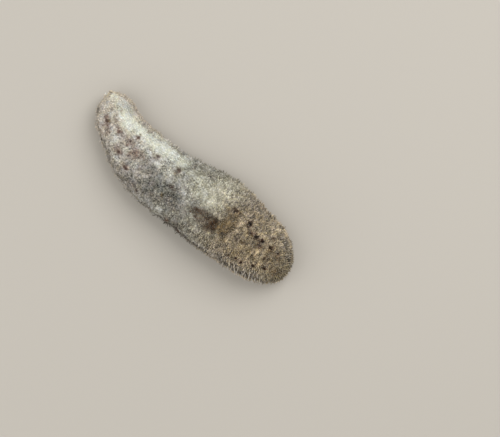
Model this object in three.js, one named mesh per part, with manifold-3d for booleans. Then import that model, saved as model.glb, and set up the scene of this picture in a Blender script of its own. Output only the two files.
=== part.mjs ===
// A sea cucumber at life size, lying on its sole as a still museum model.
// Millimetres. +X runs from the anal end to the mouth end, +Y to the animal's left flank and +Z up.
// The origin is on the floor under the middle of the model.
import * as THREE from "three";
import { mergeVertices } from "three/addons/utils/BufferGeometryUtils.js";
import Module from "manifold-3d";

const wasm = await Module();
wasm.setup();

// Body
const BODY_LENGTH = 130; // from tip to tip, along the straight chord
const CHORD_START = [-64.1, 5.7]; // where the chord starts, which centres the model's box on the origin
// The next four lists hold one value for each of nine equally spaced stations, anal end first.
const BEND = [-1.3, -8.4, -11.5, -11.2, -7.4, -3.5, -1.6, 0, 0]; // midline's distance from the chord
const HALF_WIDTH = [9.6, 11.2, 14.8, 16.3, 17.3, 19, 17.6, 15.4, 12.8];
const WIDEST_Z = [8.6, 7, 6.1, 6, 6, 6, 6, 6.4, 8.4]; // height at which the body is widest
const BACK_RISE = [7.4, 10, 13.2, 15.2, 17, 18.8, 18, 15.4, 11.4]; // back's height above that line
const ANAL_CAP = 0.095; // share of the length in which each end rounds off
const MOUTH_CAP = 0.143;
const SOLE_Z = 0.9; // clearance under the sole, which the tube feet bridge
const BACK_POWER = 2 / 2.15; // squareness of the section above and below its widest line
const SOLE_POWER = 2 / 3.2;
const DORSAL_LEAN = Math.tan(THREE.MathUtils.degToRad(12)); // the back leans to the right flank
const MARGIN_BULGE = 0.8; // the sole's edge stands out by this much
const MARGIN_ANGLE = THREE.MathUtils.degToRad(98);
const MARGIN_SPREAD = THREE.MathUtils.degToRad(13);
const FOLD_DEPTH = 0.28; // soft folds across the body
const FOLD_PITCH = 7.5;
const FOLD_SWEEP = 1.7; // how far a fold sweeps along the body from one flank to the other, in radians
const FOLD_LOWEST = -0.2; // cosine of the angle below which the folds end
const HEADING_STEP = 0.002; // probes for the midline's direction and for the skin's normal
const PROBE = { u: 0.003, angle: 0.02, margin: 0.001 };

// Division into lengths
const GAP = 0.3; // between nodes that touch
const SOLE_CUT_Z = 7.8; // the back is parted from the sole at this height
const LENGTHS = [
  { name: "anal_end", from: 0, to: 0.13, split: false, colour: 0xbeb6a8 },
  { name: "hind", from: 0.13, to: 0.385, split: true, colour: 0xa9a298 },
  { name: "mid", from: 0.385, to: 0.635, split: true, colour: 0x8c877b },
  { name: "fore", from: 0.635, to: 0.875, split: true, colour: 0x7a6d57 },
  { name: "mouth_end", from: 0.875, to: 1, split: false, colour: 0x726855 },
];
const SOLE_COLOUR = 0xb9b09c;
const CROWN_COLOUR = 0x8a7a5c;

// Papillae and tube feet
const PAPILLA = { length: 2.4, radius: 0.6, sides: 4, spacing: 3.7 };
const PAPILLA_FLANK = THREE.MathUtils.degToRad(88); // they cover the back down to this angle
const PAPILLA_LEAN = 0.35; // how far they lean away from the back's midline
const FRINGE = { length: 3.5, radius: 0.6, sides: 4, spacing: 2.7 };
const FRINGE_ANGLES = [92, 108].map(THREE.MathUtils.degToRad); // two rows, the upper one first
const FRINGE_SCATTER = THREE.MathUtils.degToRad(4.5);
const FRINGE_DROOP = 0.15; // how far the fringe's tips hang, as a share of its length
const ROOT_DEPTH = 1.3; // how deep a root is sunk
const JITTER = 0.28; // scatter of the roots, as a share of their spacing
const LENGTH_SPREAD = 0.4; // scatter of the lengths
const BARE_END = 0.4; // no papillae stand where less than this share of the full section is left
const TUBE_FOOT = { radius: 0.75, rootRadius: 0.675, sides: 5, spacing: 6, rootZ: 3 };
const TUBE_FOOT_BANDS = [-0.62, 0, 0.62]; // the three bands, as shares of the half width
const TUBE_FOOT_PAIR = 3.2; // distance between the two rows of a band
const FLOOR_CLEARANCE = 0.5; // the fringe's tips stay this far above the floor

// Mouth and vent
const MOUTH_U = 0.965; // the mouth's place along the body, on the underside
const MOUTH_TILT = THREE.MathUtils.degToRad(40); // it looks forwards and this far down
const MOUTH_RADIUS = 4.2;
const MOUTH_DEPTH = 2.4;
const MOUTH_RISE = 4; // how far the straight wall of its cut goes past its centre
const CROWN_INSET = 1.4 * GAP; // the crown lies in the hollow with this gap
const CROWN_RISE = 0.1;
const BOWL_SIDES = 20;
const BOWL_SHARES = [0, 0.45, 0.85]; // depths of the hollow's rings, as shares of its depth
const TENTACLES = 18;
const TENTACLE = { length: 2, radius: 0.5, sides: 5 };
const TENTACLE_RINGS = [0.7, 0.4]; // the outer and inner rings, as shares of the mouth's radius
const TENTACLE_LEAN = -0.12; // the tentacles fold inwards
const COLLAR_PAPILLAE = 15; // round the mouth's rim
const COLLAR_PAPILLA = { length: 1.8, radius: 0.55, sides: 4 };
const COLLAR_OFFSET = 1.5; // from the mouth's rim
const VENT_RADIUS = 1.7;
const VENT_DEPTH = 2.2;
const VENT_SIDES = 10;
const VENT_RISE = 0.25; // slope at which the vent looks up and back
const VENT_PAPILLAE = 5;
const VENT_PAPILLA = { length: 1.8, radius: 0.6, sides: 4 };
const VENT_PAPILLA_OFFSET = 1.1; // from the vent's rim
const VENT_PAPILLA_SINK = 0.35; // how far their ring lies behind the tip of the anal end
const ROSETTE_LEAN = -0.2; // papillae round the mouth and vent lean inwards

const SKIN_ROUGHNESS = 0.55;

// Mesh density
const RINGS = 32;
const CAP_RINGS = 4;
const AROUND = 26;
const SEED = 41;

// A repeatable draw between 0 and 1.
function makeRandom(seed) {
  let state = seed;
  return () => {
    state = (state + 0x6d2b79f5) | 0;
    let t = Math.imul(state ^ (state >>> 15), 1 | state);
    t = (t + Math.imul(t ^ (t >>> 7), 61 | t)) ^ t;
    return ((t ^ (t >>> 14)) >>> 0) / 4294967296;
  };
}
const random = makeRandom(SEED);

// A smooth curve through equally spaced values, read at u from 0 to 1.
function along(values, u) {
  const spans = values.length - 1;
  const t = THREE.MathUtils.clamp(u, 0, 1) * spans;
  const i = Math.min(Math.floor(t), spans - 1);
  const f = t - i;
  const at = (k) => values[THREE.MathUtils.clamp(k, 0, spans)];
  const v0 = (at(i + 1) - at(i - 1)) / 2;
  const v1 = (at(i + 2) - at(i)) / 2;
  const rise = at(i) - at(i + 1);
  return (2 * rise + v0 + v1) * f ** 3 - (3 * rise + 2 * v0 + v1) * f ** 2 + v0 * f + at(i);
}

// How much of the full section is left at u: 1 along the body, 0 at both tips.
function rounding(u) {
  const anal = Math.max(0, 1 - u / ANAL_CAP);
  const mouth = Math.max(0, 1 - (1 - u) / MOUTH_CAP);
  return Math.sqrt(Math.max(0, 1 - anal ** 2 - mouth ** 2));
}

function midline(u) {
  return new THREE.Vector3(CHORD_START[0] + u * BODY_LENGTH, CHORD_START[1] + along(BEND, u), 0);
}

function heading(u) {
  const ahead = midline(Math.min(1, u + HEADING_STEP));
  return ahead.sub(midline(Math.max(0, u - HEADING_STEP))).normalize();
}

const leftOf = (u) => new THREE.Vector3(0, 0, 1).cross(heading(u));

const signedPower = (value, power) => Math.sign(value) * Math.abs(value) ** power;

// A point of the skin. The angle is 0 on top and grows towards the left flank.
function skin(u, angle) {
  const size = rounding(u);
  const s = Math.sin(angle);
  const c = Math.cos(angle);
  const widest = along(WIDEST_Z, u);
  const power = c > 0 ? BACK_POWER : SOLE_POWER;
  const reach = c > 0 ? along(BACK_RISE, u) : widest - SOLE_Z;
  const fromMargin = (Math.abs(angle) - MARGIN_ANGLE) / MARGIN_SPREAD;
  const bulge = MARGIN_BULGE * Math.exp(-(fromMargin ** 2));
  const wave = Math.sin((u * BODY_LENGTH * 2 * Math.PI) / FOLD_PITCH + FOLD_SWEEP * s);
  const fold = c > FOLD_LOWEST ? FOLD_DEPTH * wave : 0;
  const half = along(HALF_WIDTH, u) + bulge + fold;
  const height = size * (reach + Math.max(0, c) * fold) * signedPower(c, power);
  const lean = -DORSAL_LEAN * Math.max(0, height);
  const point = midline(u).addScaledVector(leftOf(u), size * half * signedPower(s, power) + lean);
  point.z = widest + height;
  return point;
}

function outward(u, angle) {
  const ahead = Math.min(1 - PROBE.margin, u + PROBE.u);
  const behind = Math.max(PROBE.margin, u - PROBE.u);
  const forward = skin(ahead, angle).sub(skin(behind, angle));
  const round = skin(u, angle + PROBE.angle).sub(skin(u, angle - PROBE.angle));
  return forward.cross(round).normalize();
}

// The stations at which the body's rings stand, close together where the ends round off.
function ringStations() {
  const capStep = Math.PI / 2 / (CAP_RINGS + 1);
  const steps = Array.from({ length: CAP_RINGS }, (_, k) => 1 - Math.cos((k + 1) * capStep));
  const middle = Array.from({ length: RINGS }, (_, k) =>
    THREE.MathUtils.lerp(ANAL_CAP, 1 - MOUTH_CAP, k / (RINGS - 1)),
  );
  const anal = steps.map((share) => share * ANAL_CAP);
  const mouth = steps.map((share) => 1 - share * MOUTH_CAP).reverse();
  return [...anal, ...middle, ...mouth];
}

function solid(points, triangles) {
  const vertProperties = new Float32Array(points.flatMap((p) => [p.x, p.y, p.z]));
  const triVerts = new Uint32Array(triangles.flat());
  return new wasm.Manifold(new wasm.Mesh({ numProp: 3, vertProperties, triVerts }));
}

// Closes a stack of rings of points into a solid, with a single point at each end.
function fromRings(start, rings, end) {
  const sides = rings[0].length;
  const points = [start, ...rings.flat(), end];
  const last = points.length - 1;
  const at = (ring, k) => 1 + ring * sides + (k % sides);
  const triangles = [];
  for (let k = 0; k < sides; k += 1) {
    triangles.push([0, at(0, k + 1), at(0, k)]);
    for (let ring = 0; ring + 1 < rings.length; ring += 1) {
      triangles.push([at(ring, k), at(ring, k + 1), at(ring + 1, k)]);
      triangles.push([at(ring, k + 1), at(ring + 1, k + 1), at(ring + 1, k)]);
    }
    triangles.push([last, at(rings.length - 1, k), at(rings.length - 1, k + 1)]);
  }
  return solid(points, triangles);
}

function bodySolid() {
  const turn = (2 * Math.PI) / AROUND;
  const rings = ringStations().map((u) =>
    Array.from({ length: AROUND }, (_, k) => skin(u, Math.PI - (k + 0.5) * turn)),
  );
  return fromRings(skin(0, 0), rings, skin(1, 0));
}

// Two unit vectors square to a direction and to each other.
function across(direction) {
  const helper = Math.abs(direction.x) < 0.9 ? new THREE.Vector3(1, 0, 0) : new THREE.Vector3(0, 1, 0);
  const first = helper.clone().cross(direction).normalize();
  return [first, direction.clone().cross(first)];
}

function ring(centre, direction, radius, sides) {
  const [first, second] = across(direction);
  return Array.from({ length: sides }, (_, k) => {
    const angle = (2 * Math.PI * k) / sides;
    return centre
      .clone()
      .addScaledVector(first, radius * Math.cos(angle))
      .addScaledVector(second, radius * Math.sin(angle));
  });
}

// A tapering soft spine from a root on the skin.
function spine(root, direction, form) {
  const base = root.clone().addScaledVector(direction, -ROOT_DEPTH);
  const tip = root.clone().addScaledVector(direction, form.length);
  tip.z = Math.max(FLOOR_CLEARANCE, tip.z);
  const cone = fromRings(base, [ring(base, direction, form.radius, form.sides)], tip);
  return { solid: cone, root, tip, radius: form.radius };
}

const jitter = () => (random() - 0.5) * JITTER;

// A papilla of the given form on the skin. It leans by the given amounts to its own side and downwards.
function papilla(u, angle, form, sideways, droop) {
  const direction = outward(u, angle).addScaledVector(leftOf(u), sideways * Math.sin(angle));
  direction.z -= droop;
  const length = form.length * (1 + (random() - 0.5) * LENGTH_SPREAD);
  return spine(skin(u, angle), direction.normalize(), { ...form, length });
}

// Papillae spread over the back in staggered rows, between the two flanks.
function backPapillae(from, to) {
  const found = [];
  const rowStep = (PAPILLA.spacing * Math.sqrt(3)) / 2 / BODY_LENGTH;
  for (let row = Math.ceil(from / rowStep); row * rowStep < to; row += 1) {
    const u = row * rowStep;
    const meanRadius = (along(HALF_WIDTH, u) + along(BACK_RISE, u)) / 2;
    const arc = 2 * PAPILLA_FLANK * rounding(u) * meanRadius;
    const count = Math.max(1, Math.round(arc / PAPILLA.spacing));
    for (let k = 0; k < count; k += 1) {
      const share = ((k + 0.5 + (row % 2) * 0.5) / count) % 1;
      const angle = PAPILLA_FLANK * (2 * share - 1 + (2 * jitter()) / count);
      const shifted = u + jitter() * rowStep;
      if (rounding(shifted) > BARE_END) found.push(papilla(shifted, angle, PAPILLA, PAPILLA_LEAN, 0));
    }
  }
  return found;
}

// The fringe: longer papillae in two rows along each edge of the sole.
function fringe(from, to) {
  const found = [];
  const step = FRINGE.spacing / BODY_LENGTH;
  for (let place = Math.ceil(from / step); place * step < to; place += 1) {
    for (const side of [-1, 1]) {
      FRINGE_ANGLES.forEach((angle, row) => {
        const u = (place + 0.5 * row + jitter()) * step;
        const turned = side * (angle + (random() - 0.5) * FRINGE_SCATTER);
        if (rounding(u) > BARE_END) found.push(papilla(u, turned, FRINGE, 0, FRINGE_DROOP));
      });
    }
  }
  return found;
}

// Tube feet: short columns from the sole down to flats that all lie on the floor.
function tubeFeet(from, to) {
  const found = [];
  const step = TUBE_FOOT.spacing / BODY_LENGTH;
  for (let place = Math.ceil(from / step); place * step < to; place += 1) {
    for (const band of TUBE_FOOT_BANDS) {
      for (const side of [-0.5, 0.5]) {
        const u = (place + side * 0.5 + jitter()) * step;
        const offset = band * along(HALF_WIDTH, u) * rounding(u) + side * TUBE_FOOT_PAIR;
        const foot = midline(u).addScaledVector(leftOf(u), offset);
        const top = new THREE.Vector3(foot.x, foot.y, TUBE_FOOT.rootZ);
        const up = new THREE.Vector3(0, 0, 1);
        const rings = [
          ring(foot, up, TUBE_FOOT.radius, TUBE_FOOT.sides),
          ring(top, up, TUBE_FOOT.rootRadius, TUBE_FOOT.sides),
        ];
        found.push({ solid: fromRings(foot, rings, top), root: top, tip: foot, radius: TUBE_FOOT.radius });
      }
    }
  }
  return found;
}

// The planes that part the body into its lengths, each as a unit normal and its distance from the origin.
function planeAt(u) {
  const normal = heading(u);
  return { normal, distance: normal.dot(midline(u)) };
}

// A region of the body: what lies on the positive side of every one of its planes.
function region(length, part) {
  const planes = [];
  const flip = ({ normal, distance }) => ({ normal: normal.clone().negate(), distance: -distance });
  if (length.from > 0) planes.push(planeAt(length.from));
  if (length.to < 1) planes.push(flip(planeAt(length.to)));
  const level = { normal: new THREE.Vector3(0, 0, 1), distance: SOLE_CUT_Z };
  if (part === "back") planes.push(level);
  if (part === "sole") planes.push(flip(level));
  return planes;
}

const inside = (planes, point, margin) =>
  planes.every(({ normal, distance }) => normal.dot(point) - distance > margin);

const clearOf = (planes, piece) =>
  inside(planes, piece.root, piece.radius + GAP) && inside(planes, piece.tip, GAP);

function cut(whole, planes) {
  return planes.reduce(
    (rest, { normal, distance }) => rest.trimByPlane(normal.toArray(), distance + GAP / 2),
    whole,
  );
}

function largest(joined) {
  return joined.decompose().reduce((best, body) => (body.volume() > best.volume() ? body : best));
}

function joinedTo(core, pieces) {
  return largest(wasm.Manifold.union([core, ...pieces.map((piece) => piece.solid)]));
}

// The mouth's frame: its centre on the skin under the front end, and the way it looks.
const mouthCentre = skin(MOUTH_U, Math.PI);
const mouthLook = heading(MOUTH_U).multiplyScalar(Math.cos(MOUTH_TILT));
mouthLook.z = -Math.sin(MOUTH_TILT);

// A bowl-shaped solid that opens along a direction. Above its centre the wall goes straight up to the rim.
function bowl(centre, look, radius, depth, rim) {
  const at = (share) => {
    const middle = centre.clone().addScaledVector(look, -share * depth);
    return ring(middle, look, radius * Math.sqrt(1 - share ** 2), BOWL_SIDES);
  };
  const top = ring(centre.clone().addScaledVector(look, rim), look, radius, BOWL_SIDES);
  const rings = [top, ...BOWL_SHARES.map(at)];
  const front = centre.clone().addScaledVector(look, rim);
  const back = centre.clone().addScaledVector(look, -depth);
  return fromRings(front, rings.map((points) => points.slice().reverse()), back);
}

// Short tentacles folded into the mouth, in two rings round its centre.
function tentacleCrown() {
  const core = bowl(
    mouthCentre, mouthLook, MOUTH_RADIUS - CROWN_INSET, MOUTH_DEPTH - CROWN_INSET, CROWN_RISE,
  );
  const [first, second] = across(mouthLook);
  const tentacles = Array.from({ length: TENTACLES }, (_, k) => {
    const angle = (2 * Math.PI * k) / TENTACLES;
    const out = first
      .clone()
      .multiplyScalar(Math.cos(angle))
      .addScaledVector(second, Math.sin(angle));
    const root = mouthCentre.clone().addScaledVector(out, MOUTH_RADIUS * TENTACLE_RINGS[k % 2]);
    const direction = mouthLook.clone().addScaledVector(out, TENTACLE_LEAN).normalize();
    return spine(root, direction, TENTACLE);
  });
  return joinedTo(core, tentacles);
}

// Small papillae that ring a round opening and lean in over it.
function rosette(centre, look, radius, count, form) {
  return ring(centre, look, radius, count).map((root) => {
    const out = root.clone().sub(centre).normalize();
    return spine(root, look.clone().addScaledVector(out, ROSETTE_LEAN).normalize(), form);
  });
}

// The way the vent looks, from the tip of the anal end.
const ventLook = heading(0).negate();
ventLook.z = VENT_RISE;
ventLook.normalize();

function ventPit() {
  const rim = skin(0, 0).add(ventLook);
  const floor = skin(0, 0).addScaledVector(ventLook, -VENT_DEPTH);
  return fromRings(rim, [ring(rim, ventLook, VENT_RADIUS, VENT_SIDES).reverse()], floor);
}

const ventSeat = skin(0, 0).addScaledVector(ventLook, -VENT_PAPILLA_SINK);
const ventRadius = VENT_RADIUS + VENT_PAPILLA_OFFSET;
const ventPapillae = rosette(ventSeat, ventLook, ventRadius, VENT_PAPILLAE, VENT_PAPILLA);
const collarRadius = MOUTH_RADIUS + COLLAR_OFFSET;
const collar = rosette(mouthCentre, mouthLook, collarRadius, COLLAR_PAPILLAE, COLLAR_PAPILLA);

function asMesh(name, manifold, colour) {
  const { numProp, vertProperties, triVerts } = manifold.getMesh();
  const positions = new Float32Array((vertProperties.length / numProp) * 3);
  for (let i = 0; i * 3 < positions.length; i += 1) {
    positions.set(vertProperties.subarray(i * numProp, i * numProp + 3), i * 3);
  }
  const geometry = new THREE.BufferGeometry();
  geometry.setAttribute("position", new THREE.BufferAttribute(positions, 3));
  geometry.setIndex(new THREE.BufferAttribute(triVerts, 1));
  const merged = mergeVertices(geometry, 1e-4);
  merged.computeVertexNormals();
  const material = new THREE.MeshStandardMaterial({ color: colour, roughness: SKIN_ROUGHNESS, metalness: 0 });
  const mesh = new THREE.Mesh(merged, material);
  mesh.name = name;
  return mesh;
}

const model = new THREE.Group();
const body = bodySolid()
  .subtract(ventPit())
  .subtract(bowl(mouthCentre, mouthLook, MOUTH_RADIUS, MOUTH_DEPTH, MOUTH_RISE));

for (const length of LENGTHS) {
  const back = backPapillae(length.from, length.to);
  const edge = fringe(length.from, length.to);
  const feet = tubeFeet(length.from, length.to);
  if (length.split) {
    const upper = region(length, "back");
    const lower = region(length, "sole");
    const backPieces = back.filter((piece) => clearOf(upper, piece));
    const solePieces = [...edge, ...feet].filter((piece) => clearOf(lower, piece));
    model.add(asMesh(`${length.name}_back`, joinedTo(cut(body, upper), backPieces), length.colour));
    model.add(asMesh(`${length.name}_sole`, joinedTo(cut(body, lower), solePieces), SOLE_COLOUR));
  } else {
    const planes = region(length, "whole");
    const ends = [...ventPapillae, ...collar];
    const pieces = [...back, ...edge, ...ends].filter((piece) => clearOf(planes, piece));
    model.add(asMesh(length.name, joinedTo(cut(body, planes), pieces), length.colour));
  }
}
model.add(asMesh("tentacle_crown", tentacleCrown(), CROWN_COLOUR));

export default model;
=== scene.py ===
"""A sea cucumber at life size: damp mottled skin, soft papillae, fringe, tube feet, mouth and vent.

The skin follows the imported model's own shape from named sizes, in metres.
A place on the body is given by u, from 0 at the anal end to 1 at the mouth end, and by an angle
round the body, 0 on top and growing towards the left flank (+Y).
"""

import itertools
import math

import bpy
import numpy as np
from mathutils import Matrix, Vector
from mathutils.kdtree import KDTree


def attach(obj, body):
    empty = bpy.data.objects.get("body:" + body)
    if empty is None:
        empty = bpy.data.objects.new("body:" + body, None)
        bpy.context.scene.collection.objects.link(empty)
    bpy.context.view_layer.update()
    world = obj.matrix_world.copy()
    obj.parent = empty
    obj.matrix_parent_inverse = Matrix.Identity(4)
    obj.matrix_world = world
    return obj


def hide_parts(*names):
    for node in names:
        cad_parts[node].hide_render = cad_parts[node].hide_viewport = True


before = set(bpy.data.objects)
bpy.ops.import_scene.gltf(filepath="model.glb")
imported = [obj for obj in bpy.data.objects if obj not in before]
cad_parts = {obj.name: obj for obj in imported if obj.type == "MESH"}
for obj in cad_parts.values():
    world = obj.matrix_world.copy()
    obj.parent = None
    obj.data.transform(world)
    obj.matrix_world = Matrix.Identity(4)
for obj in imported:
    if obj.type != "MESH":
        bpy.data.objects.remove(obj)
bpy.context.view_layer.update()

bl_info = {
    "name": "Sea Cucumber",
    "version": (1, 0, 0),
    "blender": (4, 5, 0),
    "location": "3D View > Sidebar > Sea Cucumber",
    "description": "Builds a life-size sea cucumber over its packed solids",
    "category": "Add Mesh",
}

MM = 0.001
FLOOR_Z = 0.0

# The body's shape. Each list holds one value for each of nine equally spaced stations, anal end first.
BODY_LENGTH = 130 * MM
CHORD_START = np.array([-64.1, 5.7]) * MM
BEND = np.array([-1.3, -8.4, -11.5, -11.2, -7.4, -3.5, -1.6, 0, 0]) * MM
HALF_WIDTH = np.array([9.6, 11.2, 14.8, 16.3, 17.3, 19, 17.6, 15.4, 12.8]) * MM
WIDEST_Z = np.array([8.6, 7, 6.1, 6, 6, 6, 6, 6.4, 8.4]) * MM
BACK_RISE = np.array([7.4, 10, 13.2, 15.2, 17, 18.8, 18, 15.4, 11.4]) * MM
ANAL_CAP = 0.095  # share of the length in which each end rounds off
MOUTH_CAP = 0.143
SOLE_Z = 0.9 * MM
BACK_POWER = 2 / 2.15
SOLE_POWER = 2 / 3.2
DORSAL_LEAN = math.tan(math.radians(12))
MARGIN_BULGE = 0.8 * MM
MARGIN_ANGLE = math.radians(98)
MARGIN_SPREAD = math.radians(13)
FOLD_DEPTH = 0.28 * MM
FOLD_PITCH = 7.5 * MM

# Mouth and vent
MOUTH_U = 0.965
MOUTH_TILT = math.radians(40)
MOUTH_RADIUS = 4.2 * MM
MOUTH_DEPTH = 2.4 * MM
SUNK = 1.12  # the skin's hollow against the mouth's depth
LIP_HEIGHT = 0.5 * MM
LIP_RADIUS, LIP_WIDTH = 1.14, 0.13  # of the lip's crest, in mouth radii
VENT_RADIUS = 1.7 * MM
VENT_DEPTH = 2.2 * MM
VENT_RISE = 0.25
VENT_CREASES = 11
PUCKER_HEIGHT = 0.28 * MM
PUCKER_REACH = 2.2  # in vent radii

# The skin's grid
CAP_RINGS = (52, 72)  # anal and mouth
MIDDLE_RINGS = 262
AROUND = 246

# Shares of the length between which the anal half's looks turn into the mouth half's
MOUTH_HALF = (0.5, 0.74)
# Angles between which the back's look ends, the sole's colour begins and the sole's calm skin begins
BACK_END = np.radians([60, 90])
SOLE_COLOUR = np.radians([101, 116])
SOLE_CALM = np.radians([110, 125])
SKIN_CLEARANCE = 0.3 * MM  # least height of the skin over the floor
SPINE_CLEARANCE = 0.05 * MM  # and of the papillae
# Creases are painted darker as shade and crests paler as highlight, by their height
FULL_RELIEF = 0.45 * MM  # a crest or crease of this height has its full effect on the colour

# Where the papillae stand
PAPILLA_FLANK = math.radians(91)
FRINGE_BAND = np.radians([89, 124])
BARE_END = 0.16  # nothing stands where less than this share of the full section is left
TUBE_FOOT_BANDS = (-0.64, 0.0, 0.64)
BAND_WIDTH = 0.36  # of the half width
FOOT_REACH = 2.0 * MM  # tube feet grow only where the sole is nearer to the floor than this
SPINE_SIDES = 7  # faces round a papilla
THICK_SIDES = 8  # and round one of the thicker ones
PATCH = 0.003  # size of a papilla's patch on the unwrap
BACK_TRIES = 60000  # random places tried on the back
FRINGE_TRIES = 10000  # and on each edge of the sole

# Cross creases: place along the body in mm, depth in mm and how far they wander in mm
CREASES = [(8.5, 0.3, 2), (21, 0.25, 2.4), (36, 0.3, 3), (50, 0.5, 3), (58.5, 0.55, 2.4), (71, 0.35, 3),
           (97.2, 0.35, 0.8), (104, 0.25, 2), (116, 0.2, 2)]
# A low straight ridge across the back: place, height and width in mm
RIDGE = (95.4, 0.3, 1.1)

# Dark spots, in two rows and a few between them: place along in mm, angle in degrees, radius in mm, strength
SPOTS = [(12.1, -16, 1.1, 0.7), (18.7, 4, 1.0, 0.5), (26.6, 32, 1.2, 0.85), (25.6, 14, 0.9, 0.5),
         (26.6, -18, 1.1, 0.75), (34.4, -24, 1.4, 0.95), (41.6, 36, 1.2, 0.75), (32, 7, 0.9, 0.5),
         (45, -42, 1.1, 0.6), (55.6, 39, 1.5, 0.7), (57.4, 8, 1.2, 0.6), (63, -56, 1.2, 0.9),
         (71, -60, 1.2, 0.9), (89.6, 33, 1.2, 0.9), (91.4, 34, 0.8, 0.7), (99.1, 33, 1.2, 1.0),
         (98.8, 1, 1.0, 0.5), (102.2, 22, 0.9, 0.6), (105.5, 24, 1.4, 0.9), (109.0, 25, 1.5, 1.0),
         (104.4, -26, 1.0, 0.7), (107.9, -26, 1.1, 0.9), (109.9, 16, 0.9, 0.7), (114.3, 27, 1.2, 0.6),
         (113.8, -17, 1.2, 0.8), (115.6, 4, 0.9, 0.6), (118.8, 34, 1.2, 0.8), (112.3, 44, 0.9, 0.6),
         (119.6, -10, 1.3, 0.85), (100.6, -27, 0.9, 0.6)]

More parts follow.
